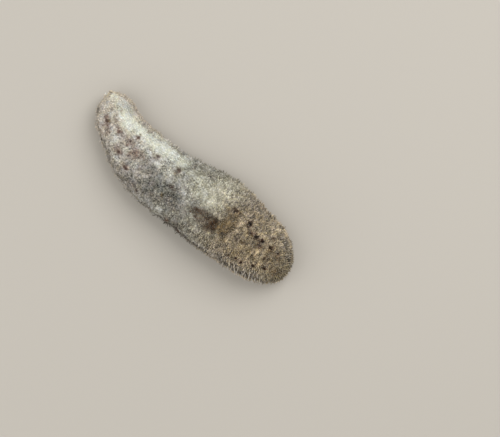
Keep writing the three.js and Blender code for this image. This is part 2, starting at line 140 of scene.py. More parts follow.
# Markings: place along the body in mm, angle in degrees, reach along in mm, reach round in degrees, strength
MARKINGS = {
    "edge": [(28, 92, 26, 16, 0.8), (16, -92, 18, 14, 0.4)],
    # Darker patches, partly the skin's own darker tone and partly painted shade: on the right flank, which
    # turns from the light, and on the mouth half's left flank
    "shade": [(81, -35, 5, 8, 0.4), (104, 42, 9, 13, 0.3), (24, -60, 12, 14, 0.85), (69, -56, 6, 8, 0.5),
              (97, -37, 3, 7, 0.8), (36, -50, 6, 12, 0.6), (4, -62, 5, 20, 0.7), (17, -36, 3, 9, 0.65),
              (25, -38, 3.6, 8, 0.4), (65, 36, 3, 7, 0.3), (45, -24, 5, 12, 0.9), (53, -24, 5, 11, 0.7),
              (61, -48, 5, 10, 0.9), (69, -46, 5, 9, 0.7)],
    # Greyer, darker flanks of the mouth half, partly their own grey tone and partly painted shade
    "ashen_and_shade": [(100, 68, 24, 20, 0.6), (112, -36, 11, 9, 0.55), (84, -60, 8, 16, 0.8),
              (100, -60, 12, 18, 0.7)],
    # A pale cream band along the left flank, partly the skin's own pale tone and partly a painted highlight
    # where the flank faces the light
    "cream_and_highlight": [(7, 32, 6, 26, 0.5), (33, 36, 3, 7, 0.45), (10, 56, 4, 12, 0.9), (15, 42, 7, 22, 1.0),
              (26, 50, 9, 18, 1.0), (36, 52, 8, 18, 1.0), (45, 56, 8, 18, 1.0), (54, 58, 7, 18, 0.9),
              (18, 22, 3.5, 10, 0.7), (40, 76, 12, 14, 0.6)],
    "pale": [(4, -10, 3, 14, 0.5), (10, 56, 4, 12, 1.0), (10, -34, 3, 9, 0.4), (85, -56, 6, 9, 0.7),
             (94, -52, 5, 8, 0.25), (57, -53, 4, 8, 0.4), (10.5, -4, 2.4, 9, 0.8), (17, -12, 2.2, 8, 0.6),
             (33, 36, 3, 8, 0.9), (27.6, 0, 2.2, 7, 0.8), (20.6, -7, 2.0, 7, 0.8), (30.6, 21, 2.6, 8, 0.9),
             (28.2, -33, 2.5, 8, 0.8), (36, -4, 2.6, 8, 0.8), (36, 26, 3, 8, 1.0), (24.2, 23, 2, 6, 0.8),
             (45, 24, 4, 9, 1.0), (50, 30, 3.5, 9, 0.9), (38, 12, 2, 6, 0.5), (65, 17, 4, 12, 0.8),
             (20.8, -22, 2.4, 8, 0.6), (57, -38, 3, 9, 0.6), (80, -22, 3, 7, 0.5)],
    "lilac": [(24.6, 9, 2.8, 9, 0.7), (25.8, -17, 2.6, 8, 0.8), (32, 9, 2.8, 8, 0.9),
              (11.5, -15, 2.4, 8, 0.5), (12.4, 7, 2.2, 8, 0.45), (18.7, 5, 2.4, 8, 0.8),
              (15, -24, 2.6, 10, 0.8), (14.6, -44, 3, 12, 0.5), (30, 4, 1.8, 8, 0.8),
              (40.6, 32, 2, 6, 0.5), (26.8, 30, 2, 6, 0.4)],
    "grey": [(41.6, 6, 3, 9, 0.6), (49, 14, 2.6, 7, 0.35), (48, 2, 4, 11, 0.8), (57.2, 4, 4, 9, 0.6),
             (53, -5, 4, 11, 1.0), (61.5, -2, 3.5, 9, 0.9), (39.5, -30, 3, 10, 0.7),
             (46, -16, 3.5, 10, 0.7), (46.2, 12, 2.6, 8, 0.5), (62, -16, 4, 10, 0.5),
             (33, -11, 3, 8, 0.35)],
    "yellow": [(71.1, 26, 5, 13, 0.9), (76.5, 23, 5, 11, 1.0), (77, 46, 8, 17, 1.0),
               (67.7, 31, 5, 12, 0.8), (82, 22, 3.4, 8, 0.9), (79, 66, 8, 14, 0.8), (53, 28, 3, 8, 0.5),
               (63, 50, 6, 14, 0.5)],
    "brown": [(77.6, 3, 3.2, 7, 0.5), (83.4, -5, 5, 10, 0.9), (86.8, -2, 3.6, 9, 0.8),
              (71.4, -6, 3, 6, 0.4), (74, -7, 3.4, 9, 0.8), (84.4, 3, 3, 6, 0.7), (102.4, 2, 1.6, 5, 0.45),
              (69, -19, 3, 8, 0.4), (82.5, -13, 3.6, 7, 0.8), (74, -33, 3, 9, 0.25),
              (90.2, 1, 2.4, 6, 0.55), (90.4, 32, 1.8, 5, 0.7)],
    "gold": [(90.6, 16, 4, 13, 1.0), (91.6, 29, 2.6, 8, 0.9), (90, 5, 3.2, 10, 1.0),
             (92.6, 6, 3, 10, 0.95), (86.4, 24, 2, 6, 0.7), (93, -8, 2.6, 8, 0.6), (104.2, 2, 3.4, 9, 0.5),
             (109, 16, 2.8, 6, 0.5), (114.4, 22, 2.6, 6, 0.6), (110.4, -3, 3, 7, 0.45),
             (103.4, -19, 3.4, 8, 0.4), (117.6, 6, 3.2, 8, 0.7), (123.6, -3, 2.8, 9, 0.8),
             (120.2, 25, 2.8, 7, 0.7), (102, 20, 3, 6, 0.5), (101, 54, 7, 9, 0.4),
             (13.2, -12, 0.9, 4, 0.9), (25.5, 40, 0.9, 3, 0.9), (35.4, -23, 0.9, 4, 0.8),
             (55, 33, 1.2, 4, 0.7), (54.6, -14, 1, 4, 0.8)],
    "ridge": [(94.2, 30, 2.2, 12, 0.8), (95.4, 8, 1.8, 12, 0.55), (96, -10, 1.6, 12, 0.35)],
    # A dark line along the body's lower right edge: a painted shadow where the body meets the floor
    "painted_edge_shadow": [(62, -70, 6, 12, 1.0), (71, -70, 6, 12, 1.0), (81, -68, 6, 9, 0.8), (90, -64, 6, 6, 0.6),
             (64, -90, 7, 14, 0.8), (75, -90, 8, 14, 0.7)],
    # The bands where the pale bristles stand: the skin between them is painted dark, as the shade that falls
    # between the bristles
    "bristles_and_gap_shade": [(101, -58, 6, 14, 0.9), (109, -58, 7, 16, 1.0), (116, -56, 5, 18, 0.9),
                (122, -60, 4, 14, 0.6), (118, 60, 5, 10, 0.5)],
    "halo": [(place, at, 1.4 * radius, 5 * radius, 0.5 * strength)
             for place, at, radius, strength in SPOTS],
}
# The ground's colour: share of the body's length and sRGB colour
GROUND = [(0.0, "#bcb2a3"), (0.1, "#bab1a4"), (0.2, "#a9a297"), (0.32, "#9e9991"), (0.44, "#929087"),
          (0.55, "#929085"), (0.66, "#8c8878"), (0.74, "#898170"), (0.8, "#918872"), (0.87, "#9f9680"),
          (0.93, "#7c7563"), (1.0, "#6b644f")]
# The body's colours over its ground: the named value that masks each, its sRGB colour and its strength
LAYERS = [
    ("between", "#7d6c62", 0.5),
    ("edge", "#b0a698", 1.0),
    # Partly the skin's own darker tone, partly painted shade
    ("shade", "#6f6a60", 1.0),
    # Partly the flanks' own grey, partly painted shade
    ("ashen_and_shade", "#8a867d", 1.0),
    # Partly the skin's own cream, partly painted highlight on the left flank
    ("cream_and_highlight", "#e2e5d9", 1.0),
    ("pale", "#c0bfb7", 1.0),
    ("lilac", "#86766c", 0.9),
    ("grey", "#63635d", 1.0),
    ("yellow", "#b8b7a8", 1.0),
    ("brown", "#453423", 1.05),
    ("gold", "#6a5d44", 1.0),
    ("ridge", "#a9a08c", 0.8),
    # Painted shadow along the lower right edge
    ("painted_edge_shadow", "#3d352e", 1.0),
    # Painted shade on the skin between the bristles
    ("bristles_and_gap_shade", "#53504a", 0.95),
    ("halo", "#634c3e", 1.0),
    ("rust", "#4d3328", 0.95),
    ("spot", "#241105", 1.25),
    ("under", "#b5ab96", 1.0),
]
NOISE_SPAN = {"From Min": 0.3, "From Max": 0.7}  # where nearly all values of a noise texture lie


def length_setting(name, description, default):
    """A length that a user may change."""
    return bpy.props.FloatProperty(name=name, description=description, default=default, unit="LENGTH")


class SkinSettings(bpy.types.PropertyGroup):
    """Sizes and finish of the skin."""

    wrinkle_pitch: length_setting("Wrinkle pitch", "Distance between the fine cross wrinkles", 2.3 * MM)
    wrinkle_depth: length_setting("Wrinkle depth", "Depth of the fine cross wrinkles", 0.16 * MM)
    lump_height: length_setting("Lump height", "Height of the skin's uneven lumps", 0.3 * MM)
    mound_height: length_setting("Mound height", "Height of the swelling under each papilla", 0.26 * MM)
    wart_height: length_setting("Wart height", "Height of the soft warts that carry the dark spots", 0.4 * MM)
    dampness: bpy.props.FloatProperty(
        name="Dampness", description="Strength of the thin wet film's gloss", default=0.06,
        min=0, max=1, subtype="FACTOR")


class PapillaSettings(bpy.types.PropertyGroup):
    """Sizes of the papillae, fringe and tube feet."""

    spacing: length_setting("Papilla spacing", "Least distance between papillae on the mouth half", 0.78 * MM)
    length: length_setting("Papilla length", "Mean length between the mouth half's longer top and flanks",
                           0.6 * MM)
    radius: length_setting("Papilla radius", "Radius halfway up, on the back", 0.24 * MM)
    fringe_length: length_setting("Fringe length", "Mean length on the mouth half's right edge", 1.5 * MM)
    fringe_spacing: length_setting("Fringe spacing", "Least distance between edge papillae", 1.05 * MM)
    bristle_length: length_setting(
        "Bristle length", "Length of the pale papillae on the right flank, longer than on the left", 2.8 * MM)
    bristle_spacing: length_setting("Bristle spacing", "Distance between pale papillae in a row", 2.1 * MM)
    foot_spacing: length_setting("Tube foot spacing", "Distance between tube feet in a band", 1.5 * MM)
    seed: bpy.props.IntProperty(
        name="Seed", description="Start of the scatter's random draw", default=7, min=0)


class StageSettings(bpy.types.PropertyGroup):
    """Floor, light and camera."""

    floor_colour: bpy.props.FloatVectorProperty(
        name="Floor colour", description="Linear colour of the plain floor", subtype="COLOR",
        size=3, default=(0.5, 0.47, 0.42), min=0, max=1)
    key_power: bpy.props.FloatProperty(
        name="Key light", description="Power of the large soft light in watts", default=5.2, min=0)
    picture_width: length_setting("Picture width", "Width that the camera takes in at the body", 257.5 * MM)
    camera_height: length_setting("Camera height", "Height of the camera over the floor", 0.9)


def along(values, u):
    """A smooth curve through equally spaced values, read at each u from 0 to 1."""
    spans = len(values) - 1
    t = np.clip(u, 0, 1) * spans
    i = np.minimum(np.floor(t).astype(int), spans - 1)
    f = t - i
    before, low, high, after = (values[np.clip(i + k, 0, spans)] for k in (-1, 0, 1, 2))
    v0, v1 = (high - before) / 2, (after - low) / 2
    rise = low - high
    return (2 * rise + v0 + v1) * f**3 - (3 * rise + 2 * v0 + v1) * f**2 + v0 * f + low


def rounding(u):
    """How much of the full section is left at u: 1 along the body, 0 at both tips."""
    anal = np.maximum(0, 1 - u / ANAL_CAP)
    mouth = np.maximum(0, 1 - (1 - u) / MOUTH_CAP)
    return np.sqrt(np.maximum(0, 1 - anal**2 - mouth**2))


def unit(vectors):
    """The vectors at length 1."""
    return vectors / np.maximum(np.linalg.norm(vectors, axis=-1, keepdims=True), 1e-12)


def midline(u):
    """Points on the floor under the middle of the body."""
    u = np.asarray(u, float)
    flat = np.zeros_like(u)
    return np.stack([CHORD_START[0] + u * BODY_LENGTH, CHORD_START[1] + along(BEND, u), flat], -1)


def heading(u):
    """Unit vectors that run along the body, towards the mouth."""
    step = 0.002
    return unit(midline(np.minimum(1, u + step)) - midline(np.maximum(0, u - step)))


def left_of(u):
    """Unit vectors that point to the left flank."""
    return np.cross([0.0, 0.0, 1.0], heading(u))


def skin_points(u, angle):
    """Points of the plain skin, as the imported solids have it."""
    u, angle = np.broadcast_arrays(np.asarray(u, float), np.asarray(angle, float))
    size, s, c = rounding(u), np.sin(angle), np.cos(angle)
    widest = along(WIDEST_Z, u)
    power = np.where(c > 0, BACK_POWER, SOLE_POWER)
    reach = np.where(c > 0, along(BACK_RISE, u), widest - SOLE_Z)
    bulge = MARGIN_BULGE * np.exp(-(((np.abs(angle) - MARGIN_ANGLE) / MARGIN_SPREAD) ** 2))
    wave = FOLD_DEPTH * np.sin(u * BODY_LENGTH * 2 * np.pi / FOLD_PITCH + 1.7 * s)
    fold = np.where(c > -0.2, wave, 0)
    half = along(HALF_WIDTH, u) + bulge + fold
    height = size * (reach + np.maximum(0, c) * fold) * np.sign(c) * np.abs(c) ** power
    offset = size * half * np.sign(s) * np.abs(s) ** power - DORSAL_LEAN * np.maximum(0, height)
    points = midline(u) + left_of(u) * offset[..., None]
    points[..., 2] = widest + height
    return points


def around(u, angle):
    """Unit vectors that lie in the skin and run round the body, towards growing angles."""
    step = 0.02
    return unit(skin_points(u, angle + step) - skin_points(u, angle - step))


def outward(u, angle):
    """Unit vectors that point out of the skin."""
    step = 0.003
    ahead, behind = np.minimum(0.999, u + step), np.maximum(0.001, u - step)
    return unit(np.cross(skin_points(ahead, angle) - skin_points(behind, angle), around(u, angle)))


MOUTH_CENTRE = skin_points(MOUTH_U, math.pi)
MOUTH_LOOK = heading(np.array(MOUTH_U)) * math.cos(MOUTH_TILT) + np.array([0, 0, -math.sin(MOUTH_TILT)])
VENT_CENTRE = skin_points(0.0, 0.0)
VENT_LOOK = unit(-heading(np.array(0.0)) + np.array([0, 0, VENT_RISE]))


def hashed(cells, seed):
    """A repeatable value from 0 to 1 for each whole-number cell, whose bits the large primes stir."""
    mixed = cells[..., 0] * 73856093 ^ cells[..., 1] * 19349663 ^ cells[..., 2] * 83492791 ^ seed * 7919
    mixed = (mixed ^ (mixed >> 13)) * 1274126177
    return ((mixed ^ (mixed >> 16)) & 0xFFFFFF) / 0xFFFFFF


def noise(points, cell, seed=0):
    """Smooth random values from -1 to 1, with lumps about one cell across. Each use has its own seed."""
    scaled = points / cell
    low = np.floor(scaled).astype(np.int64)
    f = scaled - low
    f = f * f * (3 - 2 * f)
    total = np.zeros(points.shape[:-1])
    for corner in itertools.product((0, 1), repeat=3):
        weight = np.prod(np.where(np.array(corner) == 1, f, 1 - f), axis=-1)
        total += weight * hashed(low + np.array(corner), seed)
    return 2 * total - 1


def smooth(value, low, high):
    """0 below low, 1 above high and an even ease between them."""
    t = np.clip((value - low) / (high - low), 0, 1)
    return t * t * (3 - 2 * t)


def patches(x, turn, places):
    """How strongly the given soft-edged patches cover each place."""
    bare = np.ones_like(x)
    for place, at, reach, spread, strength in places:
        # A power above 1 gives each patch a flatter middle and a firmer edge
        distance = ((x - place) / reach) ** 2 + ((turn - at) / spread) ** 2
        bare *= 1 - strength * np.exp(-(distance**1.3))
    return 1 - bare


def surface_values(u, angle, points):
    """The named values that every material of the body reads at a place of the skin."""
    # The borders of the markings wander, and their edges fray
    drift = np.stack([noise(points, 5 * MM, 11), noise(points, 5 * MM, 12)], -1)
    fine = np.stack([noise(points, 1.6 * MM, 13), noise(points, 1.6 * MM, 14)], -1)
    x = u * BODY_LENGTH / MM + 1.2 * drift[..., 0] + 0.5 * fine[..., 0]
    turn = np.degrees(angle) + 4.0 * drift[..., 1] + 1.6 * fine[..., 1]
    ragged = 0.8 * noise(points, 1.7 * MM, 17) + 0.7 * noise(points, 0.8 * MM, 18)
    values = {}
    for name, places in MARKINGS.items():
        mask = patches(x, turn, places)
        values[name] = np.clip(mask + 2.4 * ragged * mask * (1 - mask), 0, 1)
    mouth_half = smooth(u + 0.04 * noise(points, 9 * MM, 15), *MOUTH_HALF)
    apart, strength = spot_field(points)
    apart = apart * (1 + 0.35 * fine[..., 0] + 0.6 * noise(points, 0.8 * MM, 16))
    spot = strength * (1 - smooth(apart, 0.3, 1.15))
    values["spot"] = spot * (0.25 + 0.75 * mouth_half)
    values["rust"] = spot * (1 - mouth_half)
    dorsal = 1 - smooth(np.abs(angle), *BACK_END)
    # Darker mauve laid in the hollows between the back's lumps, on the anal half and less on the cream band
    values["between"] = smooth(-lumps(points), -0.1, 0.7) * dorsal * (1 - mouth_half)
    values["between"] *= (1 - 0.85 * values["cream_and_highlight"]) * smooth(u, 0.05, 0.14)
    values["along"] = u
    values["side"] = angle / math.pi
    values["mouth_half"] = mouth_half
    # Grain shows most on grey skin and on the shade patches, clouds on grey skin, and both least on the cream
    # band and its painted highlight
    grey, shade, cream_and_highlight, yellow = (values[name] for name in ("grey", "shade", "cream_and_highlight", "yellow"))
    grain = 1 + 0.6 * grey + 0.4 * shade - 0.75 * cream_and_highlight - 0.35 * yellow
    right_flank = smooth(-angle, math.radians(10), math.radians(40)) * smooth(u, 0.46, 0.58)
    values["grain"] = grain * (0.75 + 0.25 * smooth(u, 0.04, 0.2)) * (1 + 0.3 * right_flank)
    blotch = 1 + 0.3 * grey - 0.8 * cream_and_highlight - 0.25 * yellow
    values["blotch"] = blotch * (0.5 + 0.5 * smooth(u, 0.2, 0.36))
    values["under"] = smooth(np.abs(angle), *SOLE_COLOUR)
    return values


def nearest(points, roots):
    """The distance from each point to the nearest root."""
    tree = KDTree(len(roots))
    for number, root in enumerate(roots):
        tree.insert(root, number)
    tree.balance()
    found = [tree.find(point)[2] for point in points.reshape(-1, 3)]
    return np.array(found).reshape(points.shape[:-1])


def scattered(rng, tries, low, high, spacing):
    """Random places of the skin that keep their distance. spacing(u) gives the least gap."""
    u, angle = rng.uniform(0.004, 0.996, tries), rng.uniform(low, high, tries)
    points = skin_points(u, angle)
    gaps = spacing(u)
    cells = np.floor(points / gaps.max()).astype(int)
    taken, kept = {}, []
    for number, (cell, point, gap) in enumerate(zip(cells.tolist(), points.tolist(), gaps.tolist())):
        neighbours = itertools.product(*(range(c - 1, c + 2) for c in cell))
        if all(math.dist(point, other) > gap for near in neighbours for other in taken.get(near, ())):
            taken.setdefault(tuple(cell), []).append(point)
            kept.append(number)
    kept = [number for number in kept if rounding(u[number]) > BARE_END]
    return u[kept], angle[kept]


def spot_field(points):
    """How far each point is from the spot that covers it best, in that spot's radii, and its strength."""
    apart, strength = np.full(points.shape[:-1], 9.0), np.zeros(points.shape[:-1])
    for place, at, radius, full in SPOTS:
        centre = skin_points(place * MM / BODY_LENGTH, math.radians(at))
        distance = np.linalg.norm(points - centre, axis=-1) / (radius * MM)
        closer = distance < apart
        apart, strength = np.where(closer, distance, apart), np.where(closer, full, strength)
    return apart, strength


def lumps(points):
    """Soft uneven lumps of the back, about 2 to 4 mm across, from -1 to 1."""
    return 0.7 * noise(points, 3.6 * MM, 21) + 0.4 * noise(points, 1.9 * MM, 22)


def unwrapped(u, angle):
    """A place of the skin on its own unwrap, cut open along the middle of the sole."""
    return np.stack([u, (angle + math.pi) / (2 * math.pi)], -1) * 0.98 + 0.01


def make_piece(name, points, faces, values, uv, material):
    """A mesh object from arrays. faces is a list of arrays with one row of corners for each face,
    and uv holds one place for each corner, or for each point."""
    corners = np.concatenate([part.ravel() for part in faces]).astype(np.int32)
    sizes = np.concatenate([np.full(len(part), part.shape[1]) for part in faces])
    mesh = bpy.data.meshes.new(name)
    mesh.vertices.add(len(points))
    mesh.vertices.foreach_set("co", points.astype(np.float32).ravel())
    mesh.loops.add(len(corners))
    mesh.loops.foreach_set("vertex_index", corners)
    mesh.polygons.add(len(sizes))
    starts = np.concatenate([[0], np.cumsum(sizes)[:-1]]).astype(np.int32)
    mesh.polygons.foreach_set("loop_start", starts)
    mesh.update(calc_edges=True)
    mesh.shade_smooth()
    for key, value in values.items():
        layer = mesh.attributes.new(key, "FLOAT", "POINT")
        layer.data.foreach_set("value", np.asarray(value, np.float32).ravel())
    places = uv if len(uv) == len(corners) and len(uv) != len(points) else uv[corners]
    mesh.uv_layers.new(name="OFBake").data.foreach_set("uv", places.astype(np.float32).ravel())
    if mesh.validate():
        raise RuntimeError(f"the mesh of {name} wasn't sound")
    mesh.materials.append(material)
    piece = bpy.data.objects.new(name, mesh)
    bpy.context.scene.collection.objects.link(piece)
    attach(piece, "root")
    return piece


def cross_axes(directions):
    """Two unit vectors square to each direction and to each other."""
    helper = np.where(np.abs(directions[:, :1]) < 0.9, [[1.0, 0, 0]], [[0, 1.0, 0]])
    first = unit(np.cross(helper, directions))
    return first, np.cross(directions, first)


def spokes(look, turn):
    """Unit vectors square to the direction look, one for each turn round it."""
    first, second = cross_axes(look[None])
    return first * np.cos(turn)[:, None] + second * np.sin(turn)[:, None]


def tube_quads(rows, sides):
    """The faces between rows of points that follow one another, each a closed ring."""
    ring, k = np.meshgrid(np.arange(rows - 1), np.arange(sides), indexing="ij")
    here, after = ring * sides + k, ring * sides + (k + 1) % sides
    return np.stack([here, here + sides, after + sides, after], -1).reshape(-1, 4)


def copied(parts, count, size):
    """The faces of count copies of a form that has size points."""
    offset = np.arange(count)[:, None, None] * size
    return [(part[None] + offset).reshape(-1, part.shape[-1]) for part in parts]


def soft_spines(roots, directions, bends, lengths, radii, profile, sides):
    """Points, faces, root numbers, heights and unwrap patches of tapering spines, all of one profile.

    profile is a list of (height, width) rings as shares of the length and radius. A spine starts
    below its root where the first height is negative, and ends in a single point."""
    count, rows = len(roots), len(profile)
    first, second = cross_axes(directions)
    turn = np.arange(sides) * 2 * math.pi / sides
    heights = np.array([height for height, _ in profile] + [1.0])
    widths = np.array([width for _, width in profile])
    centres = (roots[:, None] + directions[:, None] * (lengths[:, None] * heights)[..., None]
               + bends[:, None] * (lengths[:, None] * np.maximum(heights, 0) ** 2)[..., None])
    rim = first[:, None, None] * np.cos(turn)[:, None] + second[:, None, None] * np.sin(turn)[:, None]
    rings = centres[:, :-1, None] + rim * (radii[:, None] * widths)[..., None, None]
    points = np.concatenate([rings.reshape(count, -1, 3), centres[:, -1:]], axis=1)
    k = np.arange(sides)
    last = (rows - 1) * sides
    tip = np.stack([last + k, last + (k + 1) % sides, np.full(sides, rows * sides)], -1)
    sheath = tube_quads(rows, sides)[:, [0, 3, 2, 1]]
    faces = copied((sheath, tip, k[::-1][None]), count, rows * sides + 1)
    owner = np.repeat(np.arange(count), rows * sides + 1)
    share = np.tile(np.append(np.repeat(np.clip(heights[:-1], 0, 1), sides), 1.0), count)
    # On the unwrap the rings lie inside one another, the tip in the middle
    patch = np.append(np.repeat(1 - np.linspace(0, 0.85, rows), sides), 0.0)
    spin = np.append(np.tile(turn, rows), 0.0)
    spread = np.stack([np.cos(spin), np.sin(spin)], -1) * patch[:, None] * PATCH / 2
    return points.reshape(-1, 3), faces, owner, share, np.tile(spread, (count, 1))


def spine_piece(name, u, angle, spines, draws, material):
    """A joined mesh of spines whose roots stand at the given places of the skin."""
    points, faces, owner, share, spread = spines
    points[:, 2] = np.maximum(points[:, 2], FLOOR_Z + SPINE_CLEARANCE)
    roots = skin_points(u, angle)
    values = {key: value[owner] for key, value in surface_values(u, angle, roots).items()}
    values["tip"] = share
    values["draw"] = draws[owner]
    uv = unwrapped(u, angle)[owner] + spread
    return make_piece(name, points, faces, values, uv, material)


def add(tree, kind, inputs=None, stops=(), **settings):
    """Adds one node. inputs maps a socket to a constant, or to the output or the node that feeds it, a
    node by its first output in use. stops are the places and sRGB colours of a ramp."""
    node = tree.nodes.new("ShaderNode" + kind)
    for key, value in settings.items():
        setattr(node, key, value)
    for socket, value in (inputs or {}).items():
        if isinstance(value, bpy.types.Node):
            value = next(output for output in value.outputs if output.enabled)
        if isinstance(value, bpy.types.NodeSocket):
            tree.links.new(value, node.inputs[socket])
        else:
            node.inputs[socket].default_value = value
    if stops:
        elements = node.color_ramp.elements
        while len(elements) < len(stops):
            elements.new(0.5)
        for element, (position, tone) in zip(elements, stops):
            element.position = position
            element.color = linear(tone)
    return node


def linear(hex_colour):
    """An sRGB hex colour as linear red, green, blue and alpha."""
    parts = [int(hex_colour[i:i + 2], 16) / 255 for i in (1, 3, 5)]
    return [p / 12.92 if p <= 0.04045 else ((p + 0.055) / 1.055) ** 2.4 for p in parts] + [1.0]


def empty_tree(name):
    """A new material and its node tree, with no nodes in it."""
    material = bpy.data.materials.new(name)
    material.use_nodes = True
    material.node_tree.nodes.clear()
    return material, material.node_tree


def body_colour(tree, *own):
    """The place on the body, the masks by name, those in own as well, and the colour of ground and
    markings, which is the same on the skin and on all that grows from it."""
    place = add(tree, "TexCoord").outputs["Object"]
    names = ["along", "side", "mouth_half", "grain", "blotch", *(name for name, _, _ in LAYERS), *own]
    mask = {name: add(tree, "Attribute", attribute_name=name).outputs["Fac"] for name in names}
    # Noise for the ragged edges of the markings, for mottling about 3.4 mm across, as the body wall's
    # pigment cells cluster, for a grain of 0.9 mm and for two sizes of tinted cloud
    ragged, mottle, grain, wide, small = (
        add(tree, "TexNoise", {
            "Vector": place, "Scale": 1 / (size * MM), "Detail": detail, "Roughness": roughness})
        for size, detail, roughness in (
            (1.8, 3, 0.6), (3.4, 1, 0.5), (0.9, 2, 0.6), (3.5, 3, 0.7), (1.6, 3, 0.7)))
    colour = add(tree, "ValToRGB", {"Fac": mask["along"]}, stops=GROUND)
    colour.color_ramp.interpolation = "EASE"
    for name, tone, strength in LAYERS:
        broken = add(tree, "MapRange", {
            "Value": ragged, **NOISE_SPAN, "To Min": 0.72 * strength, "To Max": 1.2 * strength})
        factor = add(tree, "Math", {0: mask[name], 1: broken}, operation="MULTIPLY", use_clamp=True)
        colour = add(tree, "Mix", {0: factor, 6: colour, 7: linear(tone)}, data_type="RGBA")
    # Reddish brown pigment dots 0.6 mm across, crowded in the lilac patches and rare elsewhere
    cells = add(tree, "TexVoronoi", {"Vector": place, "Scale": 1 / (1.15 * MM)}, feature="F1")
    dots = add(tree, "MapRange", {
        "Value": cells, "From Min": 0.2, "From Max": 0.42, "To Min": 1.0, "To Max": 0.0})
    crowd = add(tree, "MapRange", {"Value": mask["lilac"], "To Min": 0.07, "To Max": 0.62})
    dotted = add(tree, "Math", {0: dots, 1: crowd}, operation="MULTIPLY")
    colour = add(tree, "Mix", {0: dotted, 6: colour, 7: linear("#5b4138")}, data_type="RGBA")
    cloud, lift = (
        add(tree, "MapRange", {"Value": texture, **NOISE_SPAN, "To Min": low, "To Max": high})
        for texture, low, high in ((mottle, -0.34, 0.32), (grain, -0.6, 0.64)))
    clouded = add(tree, "Math", {0: cloud, 1: mask["blotch"], 2: 1.0}, operation="MULTIPLY_ADD")
    shade = add(tree, "Math", {0: lift, 1: mask["grain"], 2: clouded}, operation="MULTIPLY_ADD")
    # Cross streaks on the mouth half, drawn 1.2 mm wide, coarser than the real ones so that they show
    stretched = add(tree, "CombineXYZ", {
        axis: add(tree, "Math", {0: mask[name], 1: scale}, operation="MULTIPLY")
        for axis, name, scale in ((0, "along", BODY_LENGTH / (1.2 * MM)), (1, "side", 14.0))})
    streak = add(tree, "TexNoise", {"Vector": stretched, "Scale": 1.0, "Detail": 3.0, "Roughness": 0.6})
    swing = add(tree, "MapRange", {
        "Value": streak, "From Min": 0.34, "From Max": 0.66, "To Min": -0.58, "To Max": 0.62})
    streaked = add(tree, "Math", {0: swing, 1: mask["mouth_half"], 2: 1.0}, operation="MULTIPLY_ADD")
    shade = add(tree, "Math", {0: shade, 1: streaked}, operation="MULTIPLY")
    # Faint tints: yellowish and bluish, 3.5 mm across, and on the mouth half golden and pinkish, 1.6 mm
    cool, warm = (
        add(tree, "ValToRGB", {"Fac": texture}, stops=[(0.38, first), (0.62, second)])
        for texture, first, second in ((wide, "#fffdf3", "#f6f8ff"), (small, "#fff6e0", "#fbf3f7")))
    tint = add(tree, "Mix", {0: mask["mouth_half"], 6: cool, 7: warm}, data_type="RGBA")
    for factor in (tint, shade):
        colour = add(tree, "Mix", {0: 1.0, 6: colour, 7: factor}, data_type="RGBA", blend_type="MULTIPLY")
    return place, mask, colour


def body_wall_skin(settings):
    """Holothurian body wall: tough collagen, grown in fine wrinkles, full of chalky grains and wet.
    The eye gets a soft, slightly translucent ground with pale grain and a broken damp gloss."""
    material, tree = empty_tree("wet_holothurian_body_wall")
    place, mask, colour = body_colour(tree, "relief")
    # Painted shade darkens the skin between crowded papillae and the creases; painted highlight makes crests
    # paler
    gaps = add(tree, "MapRange", {"Value": mask["mouth_half"], "To Min": 0.97, "To Max": 0.9})
    relief = add(tree, "MapRange", {"Value": mask["relief"], "From Min": -1.0, "To Min": 0.6, "To Max": 1.16})
    for factor in (gaps, relief):
        colour = add(tree, "Mix", {0: 1.0, 6: colour, 7: factor}, data_type="RGBA", blend_type="MULTIPLY")
    # Chalky grains 0.3 mm across, drawn coarser than the real ones so that they show
    grains = add(tree, "TexVoronoi", {"Vector": place, "Scale": 1 / (0.75 * MM)}, feature="F1")
    speck = add(tree, "MapRange", {
        "Value": grains, "From Min": 0.1, "From Max": 0.26, "To Min": 0.5, "To Max": 0.0})
    colour = add(tree, "Mix", {0: speck, 6: colour, 7: linear("#d6d1c4")}, data_type="RGBA")
    fine = add(tree, "TexNoise", {"Vector": place, "Scale": 1 / (0.5 * MM), "Detail": 3.0})
    rough = add(tree, "MapRange", {"Value": fine, **NOISE_SPAN, "To Min": 0.38, "To Max": 0.62})
    bump = add(tree, "Bump", {"Height": fine, "Strength": 0.55, "Distance": 0.12 * MM})
    shader = add(tree, "BsdfPrincipled", {
        "Base Color": colour, "Roughness": rough, "Normal": bump, "IOR": 1.38,
        "Specular IOR Level": 0.25, "Subsurface Weight": 0.1, "Subsurface Radius": (1.6, 1.1, 0.7),
        "Subsurface Scale": 0.5 * MM, "Coat Weight": settings.dampness, "Coat Roughness": 0.28})
    add(tree, "OutputMaterial", {"Surface": shader})
    return material


